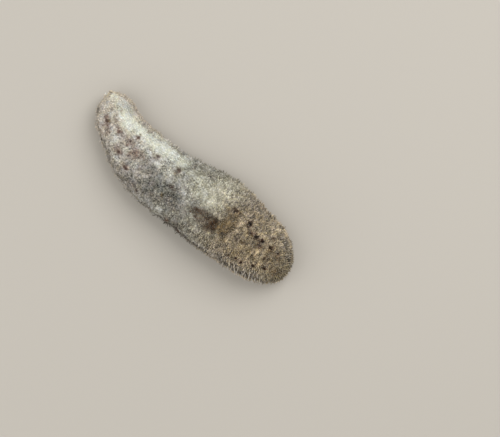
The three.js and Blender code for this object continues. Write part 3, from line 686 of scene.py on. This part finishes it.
def papilla_flesh(settings):
    """Papillae: thin-walled soft tubes of the same skin, which the eye sees paler and clearer towards
    the tip, each with a shade of its own."""
    material, tree = empty_tree("soft_papilla_flesh")
    _, mask, colour = body_colour(tree, "draw", "tip")
    # From the anal to the mouth half: the darkest papilla's shade, a root's painted shade, a tip's, and how
    # pale tips get
    darkest, root, light, pale = (
        add(tree, "MapRange", {"Value": mask["mouth_half"], "To Min": anal, "To Max": mouth})
        for anal, mouth in ((0.8, 0.42), (0.95, 0.9), (1.08, 1.32), (0.1, 0.3)))
    own = add(tree, "MapRange", {"Value": mask["draw"], "To Min": darkest, "To Max": 1.2})
    # A papilla grows lighter from root to tip, but not on a dark spot; its darker root is partly painted
    # shade
    dim = add(tree, "MapRange", {"Value": mask["spot"], "From Max": 0.6, "To Min": 1.0, "To Max": 0.42})
    light = add(tree, "Math", {0: light, 1: dim}, operation="MULTIPLY")
    tip_tone_and_root_shade = add(tree, "MapRange", {"Value": mask["tip"], "From Max": 0.8, "To Min": root, "To Max": light})
    for factor in (own, tip_tone_and_root_shade):
        colour = add(tree, "Mix", {0: 1.0, 6: colour, 7: factor}, data_type="RGBA", blend_type="MULTIPLY")
    # The tips are pale, most of all on the bristly edge, but not where the skin is dark
    tip = add(tree, "MapRange", {"Value": mask["tip"], "From Min": 0.25, "To Max": 0.8})
    dark = add(tree, "Math", {0: mask["spot"], 1: 2.0, 2: mask["brown"]}, operation="MULTIPLY_ADD")
    clear = add(tree, "MapRange", {"Value": dark, "To Min": 1.0, "To Max": 0.0})
    pale = add(tree, "Math", {0: mask["bristles_and_gap_shade"], 1: 0.8, 2: pale}, operation="MULTIPLY_ADD")
    pale = add(tree, "Math", {0: tip, 1: pale}, operation="MULTIPLY")
    pale = add(tree, "Math", {0: pale, 1: clear}, operation="MULTIPLY")
    colour = add(tree, "Mix", {0: pale, 6: colour, 7: linear("#d0cac0")}, data_type="RGBA")
    shader = add(tree, "BsdfPrincipled", {
        "Base Color": colour, "Roughness": 0.5, "IOR": 1.38, "Specular IOR Level": 0.25,
        "Subsurface Weight": 0.12, "Subsurface Radius": (1.6, 1.1, 0.7), "Subsurface Scale": 0.3 * MM,
        "Coat Weight": settings.dampness, "Coat Roughness": 0.28})
    add(tree, "OutputMaterial", {"Surface": shader})
    return material


def tube_foot_flesh():
    """Tube feet: thin-walled stalks full of water, each with a firmer sucker disc. The eye gets pale,
    slightly clear stalks with a soft gloss and yellowish discs."""
    material, tree = empty_tree("watery_tube_foot_flesh")
    tip = add(tree, "Attribute", attribute_name="tip").outputs["Fac"]
    colour = add(tree, "ValToRGB", {"Fac": tip}, stops=[(0, "#a89d89"), (1, "#c4b797")])
    shader = add(tree, "BsdfPrincipled", {
        "Base Color": colour, "Roughness": 0.35, "IOR": 1.38, "Subsurface Weight": 0.35,
        "Subsurface Radius": (1.6, 1.2, 0.8), "Subsurface Scale": 0.5 * MM})
    add(tree, "OutputMaterial", {"Surface": shader})
    return material


def tentacle_flesh():
    """Feeding tentacles: soft folded shields, sticky with slime. The eye gets a yellowish brown with a
    wet gloss, darker towards the stalks."""
    material, tree = empty_tree("sticky_tentacle_flesh")
    tip = add(tree, "Attribute", attribute_name="tip").outputs["Fac"]
    colour = add(tree, "ValToRGB", {"Fac": tip}, stops=[(0, "#4c3d29"), (1, "#a3916b")])
    shader = add(tree, "BsdfPrincipled", {
        "Base Color": colour, "Roughness": 0.3, "IOR": 1.4, "Subsurface Weight": 0.25,
        "Subsurface Radius": (1.5, 1.0, 0.6), "Subsurface Scale": 0.6 * MM})
    add(tree, "OutputMaterial", {"Surface": shader})
    return material


def papilla_places(settings):
    """Places of the back's papillae, closer together towards the mouth end and clear of the dark spots."""
    rng = np.random.default_rng(settings.seed)
    u, angle = scattered(rng, BACK_TRIES, -PAPILLA_FLANK, PAPILLA_FLANK,
                         lambda u: settings.spacing * (1.45 - 0.45 * smooth(u, 0.45, 0.72)))
    bristly = surface_values(u, angle, skin_points(u, angle))["bristles_and_gap_shade"] > 0.35
    thinned = bristly & (rng.uniform(0, 1, len(u)) < 0.85)
    kept = (spot_field(skin_points(u, angle))[0] > 0.8) & ~thinned
    return u[kept], angle[kept]


def fringe_places(settings):
    """Places of the fringe, in a band along each edge of the sole."""
    rng = np.random.default_rng(settings.seed + 1)
    (u, angle), (right_u, right_angle) = (
        scattered(rng, FRINGE_TRIES, *FRINGE_BAND, lambda u: np.full_like(u, settings.fringe_spacing))
        for _ in range(2))
    return np.concatenate([u, right_u]), np.concatenate([angle, -right_angle])


class SEACUCUMBER_OT_skin(bpy.types.Operator):
    """Builds the closed skin from vent to mouth, with wrinkles, lumps and a swelling under each papilla"""

    bl_idname = "seacucumber.skin"
    bl_label = "Skin"

    def execute(self, context):
        ease = [1 - np.cos(np.linspace(0, np.pi / 2, rings + 1))[1:] for rings in CAP_RINGS]
        middle = np.linspace(ANAL_CAP, 1 - MOUTH_CAP, MIDDLE_RINGS + 2)[1:-1]
        stations = np.concatenate([ANAL_CAP * ease[0], middle, 1 - MOUTH_CAP * ease[1][::-1]])
        angles = (np.arange(AROUND) + 0.5) * 2 * math.pi / AROUND - math.pi
        u, angle = np.meshgrid(stations, angles, indexing="ij")
        plain = skin_points(u, angle)
        normals = unit(np.cross(np.gradient(plain, axis=0),
                                np.roll(plain, -1, axis=1) - np.roll(plain, 1, axis=1)))
        relief = self.relief(context.scene.seacucumber_skin, u, angle, plain)
        points = self.open_ends(plain + normals * relief[..., None])
        points[..., 2] = np.maximum(points[..., 2], FLOOR_Z + SKIN_CLEARANCE)
        tips = np.stack([points[0].mean(0), points[-1].mean(0)])
        tips[0] -= VENT_LOOK * 0.1 * MM  # the pit of the vent

        rings = len(stations)
        k = np.arange(AROUND)
        after, last = (k + 1) % AROUND, (rings - 1) * AROUND
        vent_fan = np.stack([np.full(AROUND, rings * AROUND), k, after], -1)
        mouth_fan = np.stack([np.full(AROUND, rings * AROUND + 1), last + after, last + k], -1)

        # The corners of the quads and of both fans, as places on the body
        step = 2 * math.pi / AROUND
        here, there = angle[:-1], angle[:-1] + step
        outlines = (
            ((u[:-1], here), (u[1:], here), (u[1:], there), (u[:-1], there)),
            ((np.zeros(AROUND), angles + step / 2), (u[0], angles), (u[0], angles + step)),
            ((np.ones(AROUND), angles + step / 2), (u[-1], angles + step), (u[-1], angles)))
        uv = np.concatenate([
            np.stack([unwrapped(a, np.minimum(b, math.pi)) for a, b in outline], -2).reshape(-1, 2)
            for outline in outlines])

        values = surface_values(u, angle, plain)
        # The height over the plain shape, which the skin's colour turns into painted shade in creases and
        # painted highlight on crests
        values["relief"] = np.clip(relief / FULL_RELIEF, -1, 1)
        ends = {"along": [0, 1], "under": [0, 0]}
        values = {key: np.concatenate([value.ravel(), ends.get(key, [value[0].mean(), value[-1].mean()])])
                  for key, value in values.items()}
        piece = make_piece("skin", np.concatenate([points.reshape(-1, 3), tips]),
                           [tube_quads(rings, AROUND), vent_fan, mouth_fan], values, uv,
                           body_wall_skin(context.scene.seacucumber_skin))
        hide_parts("anal_end", "hind_back", "mid_back", "fore_back", "mouth_end",
                    "hind_sole", "mid_sole", "fore_sole")
        return {"FINISHED"}

    def relief(self, settings, u, angle, points):
        """Height of the skin over its plain shape."""
        drift = noise(points, 9 * MM, 1)
        x = u * BODY_LENGTH
        wrinkle = np.sin(x * 2 * math.pi / settings.wrinkle_pitch + 7 * drift + 3 * noise(points, 3 * MM, 6))
        patchy = np.clip(0.45 + 0.6 * noise(points, 6 * MM, 2), 0, 1)
        height = settings.wrinkle_depth * wrinkle * patchy
        for place, depth, wander in CREASES:
            apart = (x - place * MM - wander * MM * drift - 0.4 * MM * noise(points, 3 * MM, 7)) / (1.0 * MM)
            height -= depth * MM * np.exp(-(apart**2)) * (0.6 + 0.4 * noise(points, 12 * MM, 8))
        place, rise, width = (value * MM for value in RIDGE)
        ridge = np.exp(-(((x - place) / width) ** 2)) * (np.abs(angle) < BACK_END[0])
        height += rise * ridge * (0.7 + 0.3 * noise(points, 5 * MM, 9))
        height += settings.lump_height * (0.6 * noise(points, 7 * MM, 3) + lumps(points))
        height += 0.06 * MM * noise(points, 0.9 * MM, 5)
        apart, strength = spot_field(points)
        height += settings.wart_height * strength * np.exp(-((apart / 1.1) ** 2))
        roots = skin_points(*papilla_places(bpy.context.scene.seacucumber_papilla))
        swelling = np.exp(-((nearest(points, roots) / (0.42 * MM)) ** 2))
        height += settings.mound_height * swelling * (0.45 + 0.55 * smooth(u, *MOUTH_HALF))
        calm = 1 - 0.75 * smooth(np.abs(angle), *SOLE_CALM)
        return height * calm * smooth(rounding(u), 0, 0.5)

    def open_ends(self, points):
        """Sinks the mouth's hollow and the puckered vent into the skin."""
        inside = points - MOUTH_CENTRE
        depth = inside @ MOUTH_LOOK
        radial = np.linalg.norm(inside - depth[..., None] * MOUTH_LOOK, axis=-1) / MOUTH_RADIUS
        bowl = MOUTH_DEPTH * np.sqrt(np.clip(1 - radial**2, 0, 1)) * (np.abs(depth) < 2.2 * MOUTH_RADIUS)
        lip = LIP_HEIGHT * np.exp(-(((radial - LIP_RADIUS) / LIP_WIDTH) ** 2))
        lip = lip * (np.abs(depth) < MOUTH_RADIUS)
        points = points + MOUTH_LOOK * (lip - SUNK * bowl)[..., None]
        inside = points - VENT_CENTRE
        depth = inside @ VENT_LOOK
        flat = inside - depth[..., None] * VENT_LOOK
        distance = np.linalg.norm(flat, axis=-1)
        first, second = cross_axes(VENT_LOOK[None])
        turn = np.arctan2(flat @ second[0], flat @ first[0])
        near = np.abs(depth) < 4 * VENT_RADIUS
        pit = VENT_DEPTH * np.clip(1 - (distance / VENT_RADIUS) ** 2, 0, 1) * near
        fading = np.exp(-((distance / (PUCKER_REACH * VENT_RADIUS)) ** 2))
        pucker = PUCKER_HEIGHT * np.cos(VENT_CREASES * turn) * fading * near
        rise = pucker * smooth(distance, 0.3 * VENT_RADIUS, VENT_RADIUS) - pit
        return points + VENT_LOOK * rise[..., None]


class SEACUCUMBER_OT_papillae(bpy.types.Operator):
    """Builds the back's papillae as joined meshes, one for each length of the body"""

    bl_idname = "seacucumber.papillae"
    bl_label = "Papillae"

    PROFILE = [(-0.45, 1.9), (0.0, 1.5), (0.2, 1.2), (0.45, 1.0), (0.7, 0.84), (0.88, 0.6), (0.97, 0.3)]
    LENGTHS = [("hind_papillae", 0.0, MOUTH_HALF[0], "pale_skin"),
               ("mid_papillae", *MOUTH_HALF, "mottled_skin"),
               ("fore_papillae", MOUTH_HALF[1], 1.0, "brown_skin")]
    FORE = (0.4, 0.68)  # shares of the body's length between which they become the mouth half's
    FLANK = np.radians([35, 75])  # angles between which the flank begins
    TOP = np.radians([20, 50])  # and the top ends

    def execute(self, context):
        settings = context.scene.seacucumber_papilla
        material = papilla_flesh(context.scene.seacucumber_skin)
        every_u, every_angle = papilla_places(settings)
        rng = np.random.default_rng(settings.seed + 2)
        size = rng.uniform(0.65, 1.3, len(every_u))
        draws = 1 - rng.uniform(0, 1, len(every_u)) ** 2.5
        lean = rng.normal(0, 0.14, (len(every_u), 3))
        for name, low, high, slot_name in self.LENGTHS:
            mine = (every_u >= low) & (every_u < high)
            u, angle = every_u[mine], every_angle[mine]
            roots = skin_points(u, angle)
            values = surface_values(u, angle, roots)
            fore = smooth(u, *self.FORE)
            flank = smooth(np.abs(angle), *self.FLANK)
            top = 1 - smooth(np.abs(angle), *self.TOP)
            # Longest on top of the mouth half, shorter on the cream patches, pale partly by painted
            # highlight, and on the ridge
            lengths = settings.length * size[mine] * (0.6 + fore * (0.4 + 0.5 * flank + 0.9 * top))
            lengths *= 1 - 0.5 * values["cream_and_highlight"] - 0.4 * values["ridge"]
            radii = settings.radius * (0.7 + 0.35 * size[mine])
            down = around(u, angle) * np.where(angle + 0.8 * lean[mine, 0] > 0, 1, -1)[:, None]
            # They stand straighter on top of the mouth half
            loose = 1 - 0.6 * (fore * top)[:, None]
            directions = unit(outward(u, angle) + loose * (0.45 * down + 1.4 * lean[mine]))
            bends = loose * (0.2 * down + 0.8 * lean[mine])
            spines = soft_spines(roots, directions, bends, lengths, radii, self.PROFILE, SPINE_SIDES)
            spine_piece(name, u, angle, spines, draws[mine] + 0.28 * fore * top, material)
        return {"FINISHED"}


class SEACUCUMBER_OT_dark_papillae(bpy.types.Operator):
    """Builds a small clump of dark papillae on each of the spots"""

    bl_idname = "seacucumber.dark_papillae"
    bl_label = "Dark papillae"

    PROFILE = [(-0.3, 1.3), (0.0, 1.2), (0.2, 1.0), (0.5, 0.75), (0.8, 0.45)]
    EACH = 6
    OUT = 0.38  # how far the outer ones of a clump stand from its middle, in the spot's radii
    THICK = (0.3, 0.19)  # radius of the middle one and of the outer ones, in the spot's radii
    SECTION = 16 * MM  # radius of the body that turns a step round it into an angle

    def execute(self, context):
        settings = context.scene.seacucumber_papilla
        rng = np.random.default_rng(settings.seed + 7)
        place, at, radius, _ = (np.repeat(column, self.EACH) for column in np.array(SPOTS).T)
        arm = np.tile(np.arange(self.EACH), len(SPOTS))
        turn = arm * 2 * math.pi / (self.EACH - 1) + rng.uniform(-0.5, 0.5, len(arm))
        off = np.where(arm == 0, 0.0, self.OUT)
        radius = radius * MM
        u = (place * MM + off * radius * np.cos(turn)) / BODY_LENGTH
        angle = np.radians(at) + off * radius * np.sin(turn) / self.SECTION
        side = heading(u) * np.cos(turn)[:, None] + around(u, angle) * np.sin(turn)[:, None]
        directions = unit(outward(u, angle) + 1.1 * off[:, None] * side)
        lengths = radius * rng.uniform(0.45, 0.85, len(arm))
        radii = radius * np.where(arm == 0, *self.THICK)
        spines = soft_spines(skin_points(u, angle), directions, 0.4 * off[:, None] * side, lengths, radii,
                             self.PROFILE, SPINE_SIDES)
        spine_piece("dark_papillae", u, angle, spines, rng.uniform(0.2, 0.7, len(arm)),
                    papilla_flesh(context.scene.seacucumber_skin))
        return {"FINISHED"}


class SEACUCUMBER_OT_bristles(bpy.types.Operator):
    """Builds staggered rows of long pale papillae on each flank of the mouth half"""

    bl_idname = "seacucumber.bristles"
    bl_label = "Bristles"

    PROFILE = [(-0.25, 1.5), (0.0, 1.3), (0.2, 1.0), (0.45, 0.84), (0.7, 0.62), (0.9, 0.36)]
    REACH = (96 * MM, 125 * MM)
    ROWS = np.radians([34, 47, 61])
    RADIUS = 0.34 * MM
    LEFT = 0.6  # the left flank's length against the right flank's

    def execute(self, context):
        settings = context.scene.seacucumber_papilla
        rng = np.random.default_rng(settings.seed + 8)
        steps = int((self.REACH[1] - self.REACH[0]) / settings.bristle_spacing)
        step, row, side = (a.ravel() for a in np.meshgrid(
            np.arange(steps), np.arange(len(self.ROWS)), (-1, 1), indexing="ij"))
        count = len(step)
        places = step + 0.5 * row + rng.uniform(-0.25, 0.25, count)
        u = (self.REACH[0] + places * settings.bristle_spacing) / BODY_LENGTH
        angle = side * (self.ROWS[row] + rng.normal(0, 0.05, count))
        lengths = settings.bristle_length * rng.uniform(0.7, 1.1, count) * np.where(side < 0, 1, self.LEFT)
        lengths *= 0.4 + 0.6 * smooth(u, 0.72, 0.79)
        down = around(u, angle) * side[:, None]
        lean = rng.normal(0, 0.12, (count, 3))
        directions = unit(0.8 * outward(u, angle) + 0.7 * down + 0.5 * heading(u) + lean)
        radii = self.RADIUS * rng.uniform(0.85, 1.15, count)
        points, faces, owner, share, spread = soft_spines(
            skin_points(u, angle), directions, 0.2 * down + 0.4 * lean, lengths, radii, self.PROFILE,
            THICK_SIDES)
        # They are pale from close above the root
        spines = points, faces, owner, share**0.4, spread
        spine_piece("bristles", u, angle, spines, rng.uniform(0.5, 1, count),
                    papilla_flesh(context.scene.seacucumber_skin))
        return {"FINISHED"}


class SEACUCUMBER_OT_fringe(bpy.types.Operator):
    """Builds the fringe of longer papillae along both edges of the sole"""

    bl_idname = "seacucumber.fringe"
    bl_label = "Fringe"

    PROFILE = [(-0.2, 1.4), (0.0, 1.25), (0.12, 1.0), (0.35, 0.84), (0.6, 0.72), (0.82, 0.58), (0.95, 0.34)]
    LEFT = 0.8  # the left edge's length against the right edge's
    HANGING = np.radians([98, 116])  # angles between which the fringe turns down
    FLOOR_GAP = 0.2 * MM

    def execute(self, context):
        settings = context.scene.seacucumber_papilla
        u, angle = fringe_places(settings)
        rng = np.random.default_rng(settings.seed + 3)
        size = rng.uniform(0.7, 1.3, len(u))
        longer = np.where(angle < 0, 1, self.LEFT)
        lengths = settings.fringe_length * size * (0.6 + 0.4 * smooth(u, 0.15, 0.45)) * longer
        lengths *= smooth(rounding(u), 0.0, 0.6) * 0.4 + 0.6
        radii = settings.radius * (0.75 + 0.3 * size)
        lean = rng.normal(0, 0.17, (len(u), 3))
        roots = skin_points(u, angle)
        hanging = 0.1 + 0.5 * smooth(np.abs(angle), *self.HANGING)
        directions = unit(outward(u, angle) + lean - hanging[:, None] * [0, 0, 1])
        bends = 0.5 * lean - np.array([0, 0, 0.18])
        # Those that would reach the floor end just above it
        fall = np.maximum(0.05, -directions[:, 2] - bends[:, 2])
        lengths = np.minimum(lengths, (roots[:, 2] - FLOOR_Z - self.FLOOR_GAP) / fall)
        spines = soft_spines(roots, directions, bends, lengths, radii, self.PROFILE, SPINE_SIDES)
        material = papilla_flesh(context.scene.seacucumber_skin)
        spine_piece("fringe", u, angle, spines, rng.uniform(0.35, 1, len(u)), material)
        return {"FINISHED"}


class SEACUCUMBER_OT_tube_feet(bpy.types.Operator):
    """Builds the leaning tube feet in three bands under the sole, with sucker discs flat on the floor"""

    bl_idname = "seacucumber.tube_feet"
    bl_label = "Tube feet"

    RINGS = [(1.0, 0.36), (0.6, 0.29), (0.3, 0.3), (0.16, 0.42), (0.05, 0.5), (0.0, 0.44)]
    LEAN = 0.35  # how far a disc may stand from below its root, as a share of the foot's height
    ROOT_DEPTH = 0.6 * MM  # how far a root sinks into the sole
    ABREAST = 4  # feet side by side in a band
    EDGE = 0.9  # no foot stands further out than this share of the half width
    BARE_END = 0.4  # or where less than this share of the full section is left
    SIDES = 9
    REACH = (0.035, 0.93)  # the share of the body's length from the first foot to the last

    def execute(self, context):
        settings = context.scene.seacucumber_papilla
        rng = np.random.default_rng(settings.seed + 4)
        steps = int(BODY_LENGTH * self.REACH[1] / settings.foot_spacing)
        across = np.linspace(-0.5, 0.5, self.ABREAST) * BAND_WIDTH
        u, band, offset = (a.ravel() for a in np.meshgrid(
            np.linspace(*self.REACH, steps), np.array(TUBE_FOOT_BANDS), across, indexing="ij"))
        u = u + rng.uniform(-0.4, 0.4, len(u)) * settings.foot_spacing / BODY_LENGTH
        sideways = band + offset + rng.uniform(-0.05, 0.05, len(u))
        kept = (np.abs(sideways) < self.EDGE) & (rounding(u) > self.BARE_END)
        u, sideways = u[kept], sideways[kept]
        share = np.abs(sideways) ** (1 / SOLE_POWER)
        angle = np.sign(sideways) * (math.pi - np.arcsin(np.clip(share, 0, 1)))
        low = skin_points(u, angle)[:, 2] < FOOT_REACH
        u, angle = u[low], angle[low]
        roots = skin_points(u, angle)
        tops = roots[:, 2] + self.ROOT_DEPTH
        count, rows, sides = len(u), len(self.RINGS), self.SIDES
        turn = np.arange(sides) * 2 * math.pi / sides
        circle = np.stack([np.cos(turn), np.sin(turn)], -1)
        size = rng.uniform(0.65, 1.2, count)
        shift = rng.uniform(-1, 1, (count, 2)) * (self.LEAN * tops)[:, None]
        rings = []
        for height, radius in self.RINGS:
            rim = circle[None] * (radius * MM * size)[:, None, None]
            level = np.broadcast_to((height * tops)[:, None, None], rim.shape[:2] + (1,))
            middle = roots[:, :2] + shift * (1 - height)
            rings.append(np.concatenate([middle[:, None] + rim, level], -1))
        ends = np.stack([np.arange(sides), (rows - 1) * sides + np.arange(sides)[::-1]])
        faces = copied((tube_quads(rows, sides), ends), count, rows * sides)
        owner = np.repeat(np.arange(count), rows * sides)
        values = {"tip": np.tile(np.repeat([1 - height for height, _ in self.RINGS], sides), count)}
        spread = np.tile(circle, (rows, 1)) * np.repeat(np.linspace(1, 0.3, rows), sides)[:, None] * PATCH / 2
        uv = unwrapped(u, angle)[owner] + np.tile(spread, (count, 1))
        make_piece("tube_feet", np.stack(rings, 1).reshape(-1, 3), faces, values, uv, tube_foot_flesh())
        return {"FINISHED"}


class SEACUCUMBER_OT_mouth(bpy.types.Operator):
    """Builds the folded tentacles in the mouth and the collar of papillae round it"""

    bl_idname = "seacucumber.mouth"
    bl_label = "Mouth"

    LOBE = [(-0.3, 0.55), (0.2, 0.6), (0.55, 0.95), (0.8, 1.0), (0.95, 0.6)]
    COLLAR = [(-0.3, 1.2), (0.05, 1.1), (0.4, 0.85), (0.75, 0.6), (0.92, 0.35)]
    TENTACLES = 18
    STALK_RINGS = (0.68, 0.34)  # in mouth radii
    STALK_DEPTH = 0.9 * MM
    LOBES = 9
    LOBE_RADIUS = 0.24 * MM
    COLLAR_COUNT = 30
    COLLAR_RINGS = (1.42, 1.2)  # in mouth radii
    COLLAR_DEPTH = 0.5 * MM
    COLLAR_RADIUS = 0.34 * MM
    SPREAD = 0.008  # half the width that the crown takes on the unwrap

    def execute(self, context):
        rng = np.random.default_rng(context.scene.seacucumber_papilla.seed + 5)
        first, second = (axis[0] for axis in cross_axes(MOUTH_LOOK[None]))
        roots, directions, lengths = [], [], []
        for number in range(self.TENTACLES):
            turn = 2 * math.pi * number / self.TENTACLES
            out = first * math.cos(turn) + second * math.sin(turn)
            stalk = MOUTH_CENTRE + out * MOUTH_RADIUS * self.STALK_RINGS[number % 2]
            stalk -= MOUTH_LOOK * self.STALK_DEPTH
            for lobe in range(self.LOBES):
                spin = 2 * math.pi * lobe / self.LOBES
                side = (first * math.cos(spin) + second * math.sin(spin)) * (0.5 if lobe else 0.0)
                roots.append(stalk + side * 0.35 * MM)
                directions.append(MOUTH_LOOK + side - 0.15 * out + rng.normal(0, 0.06, 3))
                lengths.append(rng.uniform(2.1, 2.6) * MM)
        roots, directions, lengths = np.array(roots), unit(np.array(directions)), np.array(lengths)
        points, faces, owner, share, spread = soft_spines(
            roots, directions, np.zeros_like(roots), lengths, np.full(len(roots), self.LOBE_RADIUS),
            self.LOBE, SPINE_SIDES)
        points[:, 2] = np.maximum(points[:, 2], FLOOR_Z + 0.1 * MM)
        place = unwrapped(np.full(len(owner), MOUTH_U), np.full(len(owner), math.pi)) + spread
        flat = (roots - MOUTH_CENTRE) @ np.stack([first, second], -1)
        place += flat[owner] / MOUTH_RADIUS * self.SPREAD - np.array([0, 0.02])
        crown = make_piece("tentacle_crown_shields", points, faces, {"tip": share}, place, tentacle_flesh())
        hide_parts("tentacle_crown")
        self.collar(context, rng)
        return {"FINISHED"}

    def collar(self, context, rng):
        """Two rings of small papillae round the mouth's lip."""
        count = self.COLLAR_COUNT
        turn = np.arange(count) * 2 * math.pi / count
        radius = MOUTH_RADIUS * np.where(np.arange(count) % 2, *self.COLLAR_RINGS) + 0.1 * MM
        out = spokes(MOUTH_LOOK, turn)
        roots = MOUTH_CENTRE + out * radius[:, None] - MOUTH_LOOK * self.COLLAR_DEPTH
        # The places of the skin that lie closest to the rings
        grid_u, grid_angle = np.meshgrid(np.linspace(0.9, 0.998, 60), np.linspace(-math.pi, math.pi, 241))
        surface = skin_points(grid_u, grid_angle).reshape(-1, 3)
        closest = np.linalg.norm(surface[None] - roots[:, None], axis=-1).argmin(1)
        u, angle = grid_u.ravel()[closest], grid_angle.ravel()[closest]
        directions = unit(outward(u, angle) + 0.5 * MOUTH_LOOK - 0.3 * out + rng.normal(0, 0.08, (count, 3)))
        lengths = rng.uniform(1.5, 2.1, count) * MM
        spines = soft_spines(skin_points(u, angle), directions, -0.15 * out, lengths,
                             np.full(count, self.COLLAR_RADIUS), self.COLLAR, SPINE_SIDES)
        spine_piece("mouth_collar", u, angle, spines, rng.uniform(0.4, 1, count),
                    papilla_flesh(context.scene.seacucumber_skin))


class SEACUCUMBER_OT_vent(bpy.types.Operator):
    """Builds the small blunt papillae that stand round the vent"""

    bl_idname = "seacucumber.vent"
    bl_label = "Vent papillae"

    PROFILE = [(-0.3, 1.15), (0.05, 1.1), (0.4, 0.95), (0.72, 0.75), (0.92, 0.42)]
    GROUPS = 5
    EACH = 3
    APART = 0.26  # the angle between neighbours of a group in radians
    DEPTH = 0.8 * MM
    # Distance from the vent's middle in vent radii, length in mm and radius in mm
    MIDDLE = (1.5, 2.3, 0.48)
    BESIDE = (1.75, 1.7, 0.34)
    COLOUR_U = 0.012  # the place along the body whose colours they take

    def execute(self, context):
        rng = np.random.default_rng(context.scene.seacucumber_papilla.seed + 6)
        group, member = np.meshgrid(np.arange(self.GROUPS), np.arange(self.EACH) - 1, indexing="ij")
        turn = (group * 2 * math.pi / self.GROUPS + member * self.APART).ravel()
        middle = (member == 0).ravel()
        distance, length, radius = (np.where(middle, *pair) for pair in zip(self.MIDDLE, self.BESIDE))
        out = spokes(VENT_LOOK, turn)
        roots = VENT_CENTRE + out * VENT_RADIUS * distance[:, None] - VENT_LOOK * self.DEPTH
        directions = unit(VENT_LOOK - 0.22 * out + rng.normal(0, 0.05, out.shape))
        spines = soft_spines(roots, directions, -0.12 * out, length * MM, radius * MM, self.PROFILE,
                             THICK_SIDES)
        u, angle = np.full(len(turn), self.COLOUR_U), turn % (2 * math.pi) - math.pi
        spine_piece("vent_papillae", u, angle, spines, rng.uniform(0.6, 1, len(turn)),
                    papilla_flesh(context.scene.seacucumber_skin))
        return {"FINISHED"}


class SEACUCUMBER_OT_stage(bpy.types.Operator):
    """Builds the plain floor, the soft studio light and the camera that looks straight down"""

    bl_idname = "seacucumber.stage"
    bl_label = "Stage"

    # The picture's centre and its right and upright directions on the floor
    AIM = (32.1 * MM, 13.0 * MM, 6 * MM)
    PICTURE_RIGHT = Vector((0.68906, 0.72470, 0.0))
    PICTURE_UP = Vector((-0.72470, 0.68906, 0.0))
    FLOOR_REACH = 3.0
    # Each soft light's place, size and share of the key light's power
    LIGHTS = {"key": ((0.0, 0.6, 0.8), 0.7, 1.0), "fill": ((-0.35, -0.6, 0.6), 0.9, 0.5)}
    DAYLIGHT = 0.65  # strength of the even light from all sides

    def execute(self, context):
        settings = context.scene.seacucumber_stage
        self.floor(settings)
        for name, (place, size, share) in self.LIGHTS.items():
            self.light(name, place, size, settings.key_power * share)
        world = bpy.data.worlds.new("soft_daylight")
        world.use_nodes = True
        daylight = world.node_tree.nodes["Background"].inputs
        daylight["Color"].default_value = (1.0, 0.985, 0.96, 1.0)
        daylight["Strength"].default_value = self.DAYLIGHT
        context.scene.world = world
        context.scene.view_settings.view_transform = "Standard"
        data = bpy.data.cameras.new("camera")
        data.lens = data.sensor_width * (settings.camera_height - self.AIM[2]) / settings.picture_width
        camera = bpy.data.objects.new("camera", data)
        context.scene.collection.objects.link(camera)
        turned = Matrix((self.PICTURE_RIGHT, self.PICTURE_UP, Vector((0, 0, 1)))).transposed()
        place = Matrix.Translation((self.AIM[0], self.AIM[1], settings.camera_height))
        camera.matrix_world = place @ turned.to_4x4()
        context.scene.camera = camera
        return {"FINISHED"}

    def floor(self, settings):
        """A board, painted matt, that gives the eye an even ground with a very fine tooth."""
        corners = [(-1, -1), (1, -1), (1, 1), (-1, 1)]
        points = [(x * self.FLOOR_REACH, y * self.FLOOR_REACH, FLOOR_Z - 0.02 * MM) for x, y in corners]
        mesh = bpy.data.meshes.new("floor")
        mesh.from_pydata(points, [], [(0, 1, 2, 3)])
        material, tree = empty_tree("matt_painted_board")
        place = add(tree, "TexCoord").outputs["Object"]
        grain = add(tree, "TexNoise", {"Vector": place, "Scale": 1 / (1.5 * MM), "Detail": 2.0})
        bump = add(tree, "Bump", {"Height": grain, "Strength": 0.15, "Distance": 0.05 * MM})
        shader = add(tree, "BsdfPrincipled", {
            "Base Color": (*settings.floor_colour, 1.0), "Roughness": 0.85, "Normal": bump})
        add(tree, "OutputMaterial", {"Surface": shader})
        mesh.materials.append(material)
        floor = bpy.data.objects.new("floor", mesh)
        bpy.context.scene.collection.objects.link(floor)

    def light(self, name, place, size, power):
        data = bpy.data.lights.new(name, "AREA")
        data.size = size
        data.energy = power
        lamp = bpy.data.objects.new(name, data)
        lamp.location = place
        lamp.rotation_mode = "QUATERNION"
        lamp.rotation_quaternion = (-Vector(place)).to_track_quat("-Z", "Y")
        bpy.context.scene.collection.objects.link(lamp)


OPERATORS = (
    SEACUCUMBER_OT_skin,
    SEACUCUMBER_OT_papillae,
    SEACUCUMBER_OT_dark_papillae,
    SEACUCUMBER_OT_bristles,
    SEACUCUMBER_OT_fringe,
    SEACUCUMBER_OT_tube_feet,
    SEACUCUMBER_OT_mouth,
    SEACUCUMBER_OT_vent,
    SEACUCUMBER_OT_stage,
)
SETTINGS = {
    "seacucumber_skin": SkinSettings,
    "seacucumber_papilla": PapillaSettings,
    "seacucumber_stage": StageSettings,
}


class SEACUCUMBER_PT_panel(bpy.types.Panel):
    """Lists the pieces and their sizes."""

    bl_idname = "SEACUCUMBER_PT_panel"
    bl_label = "Sea Cucumber"
    bl_space_type = "VIEW_3D"
    bl_region_type = "UI"
    bl_category = "Sea Cucumber"

    def draw(self, context):
        for operator in OPERATORS:
            self.layout.operator(operator.bl_idname)
        for key, group in SETTINGS.items():
            box = self.layout.box()
            for field in group.__annotations__:
                box.prop(getattr(context.scene, key), field)


def register():
    for group in (*SETTINGS.values(), *OPERATORS, SEACUCUMBER_PT_panel):
        bpy.utils.register_class(group)
    for key, group in SETTINGS.items():
        setattr(bpy.types.Scene, key, bpy.props.PointerProperty(type=group))


def unregister():
    for key in SETTINGS:
        delattr(bpy.types.Scene, key)
    for group in reversed((*SETTINGS.values(), *OPERATORS, SEACUCUMBER_PT_panel)):
        bpy.utils.unregister_class(group)


def main():
    register()
    for operator in OPERATORS:
        getattr(bpy.ops.seacucumber, operator.bl_idname.split(".")[1])()


if __name__ == "__main__":
    main()
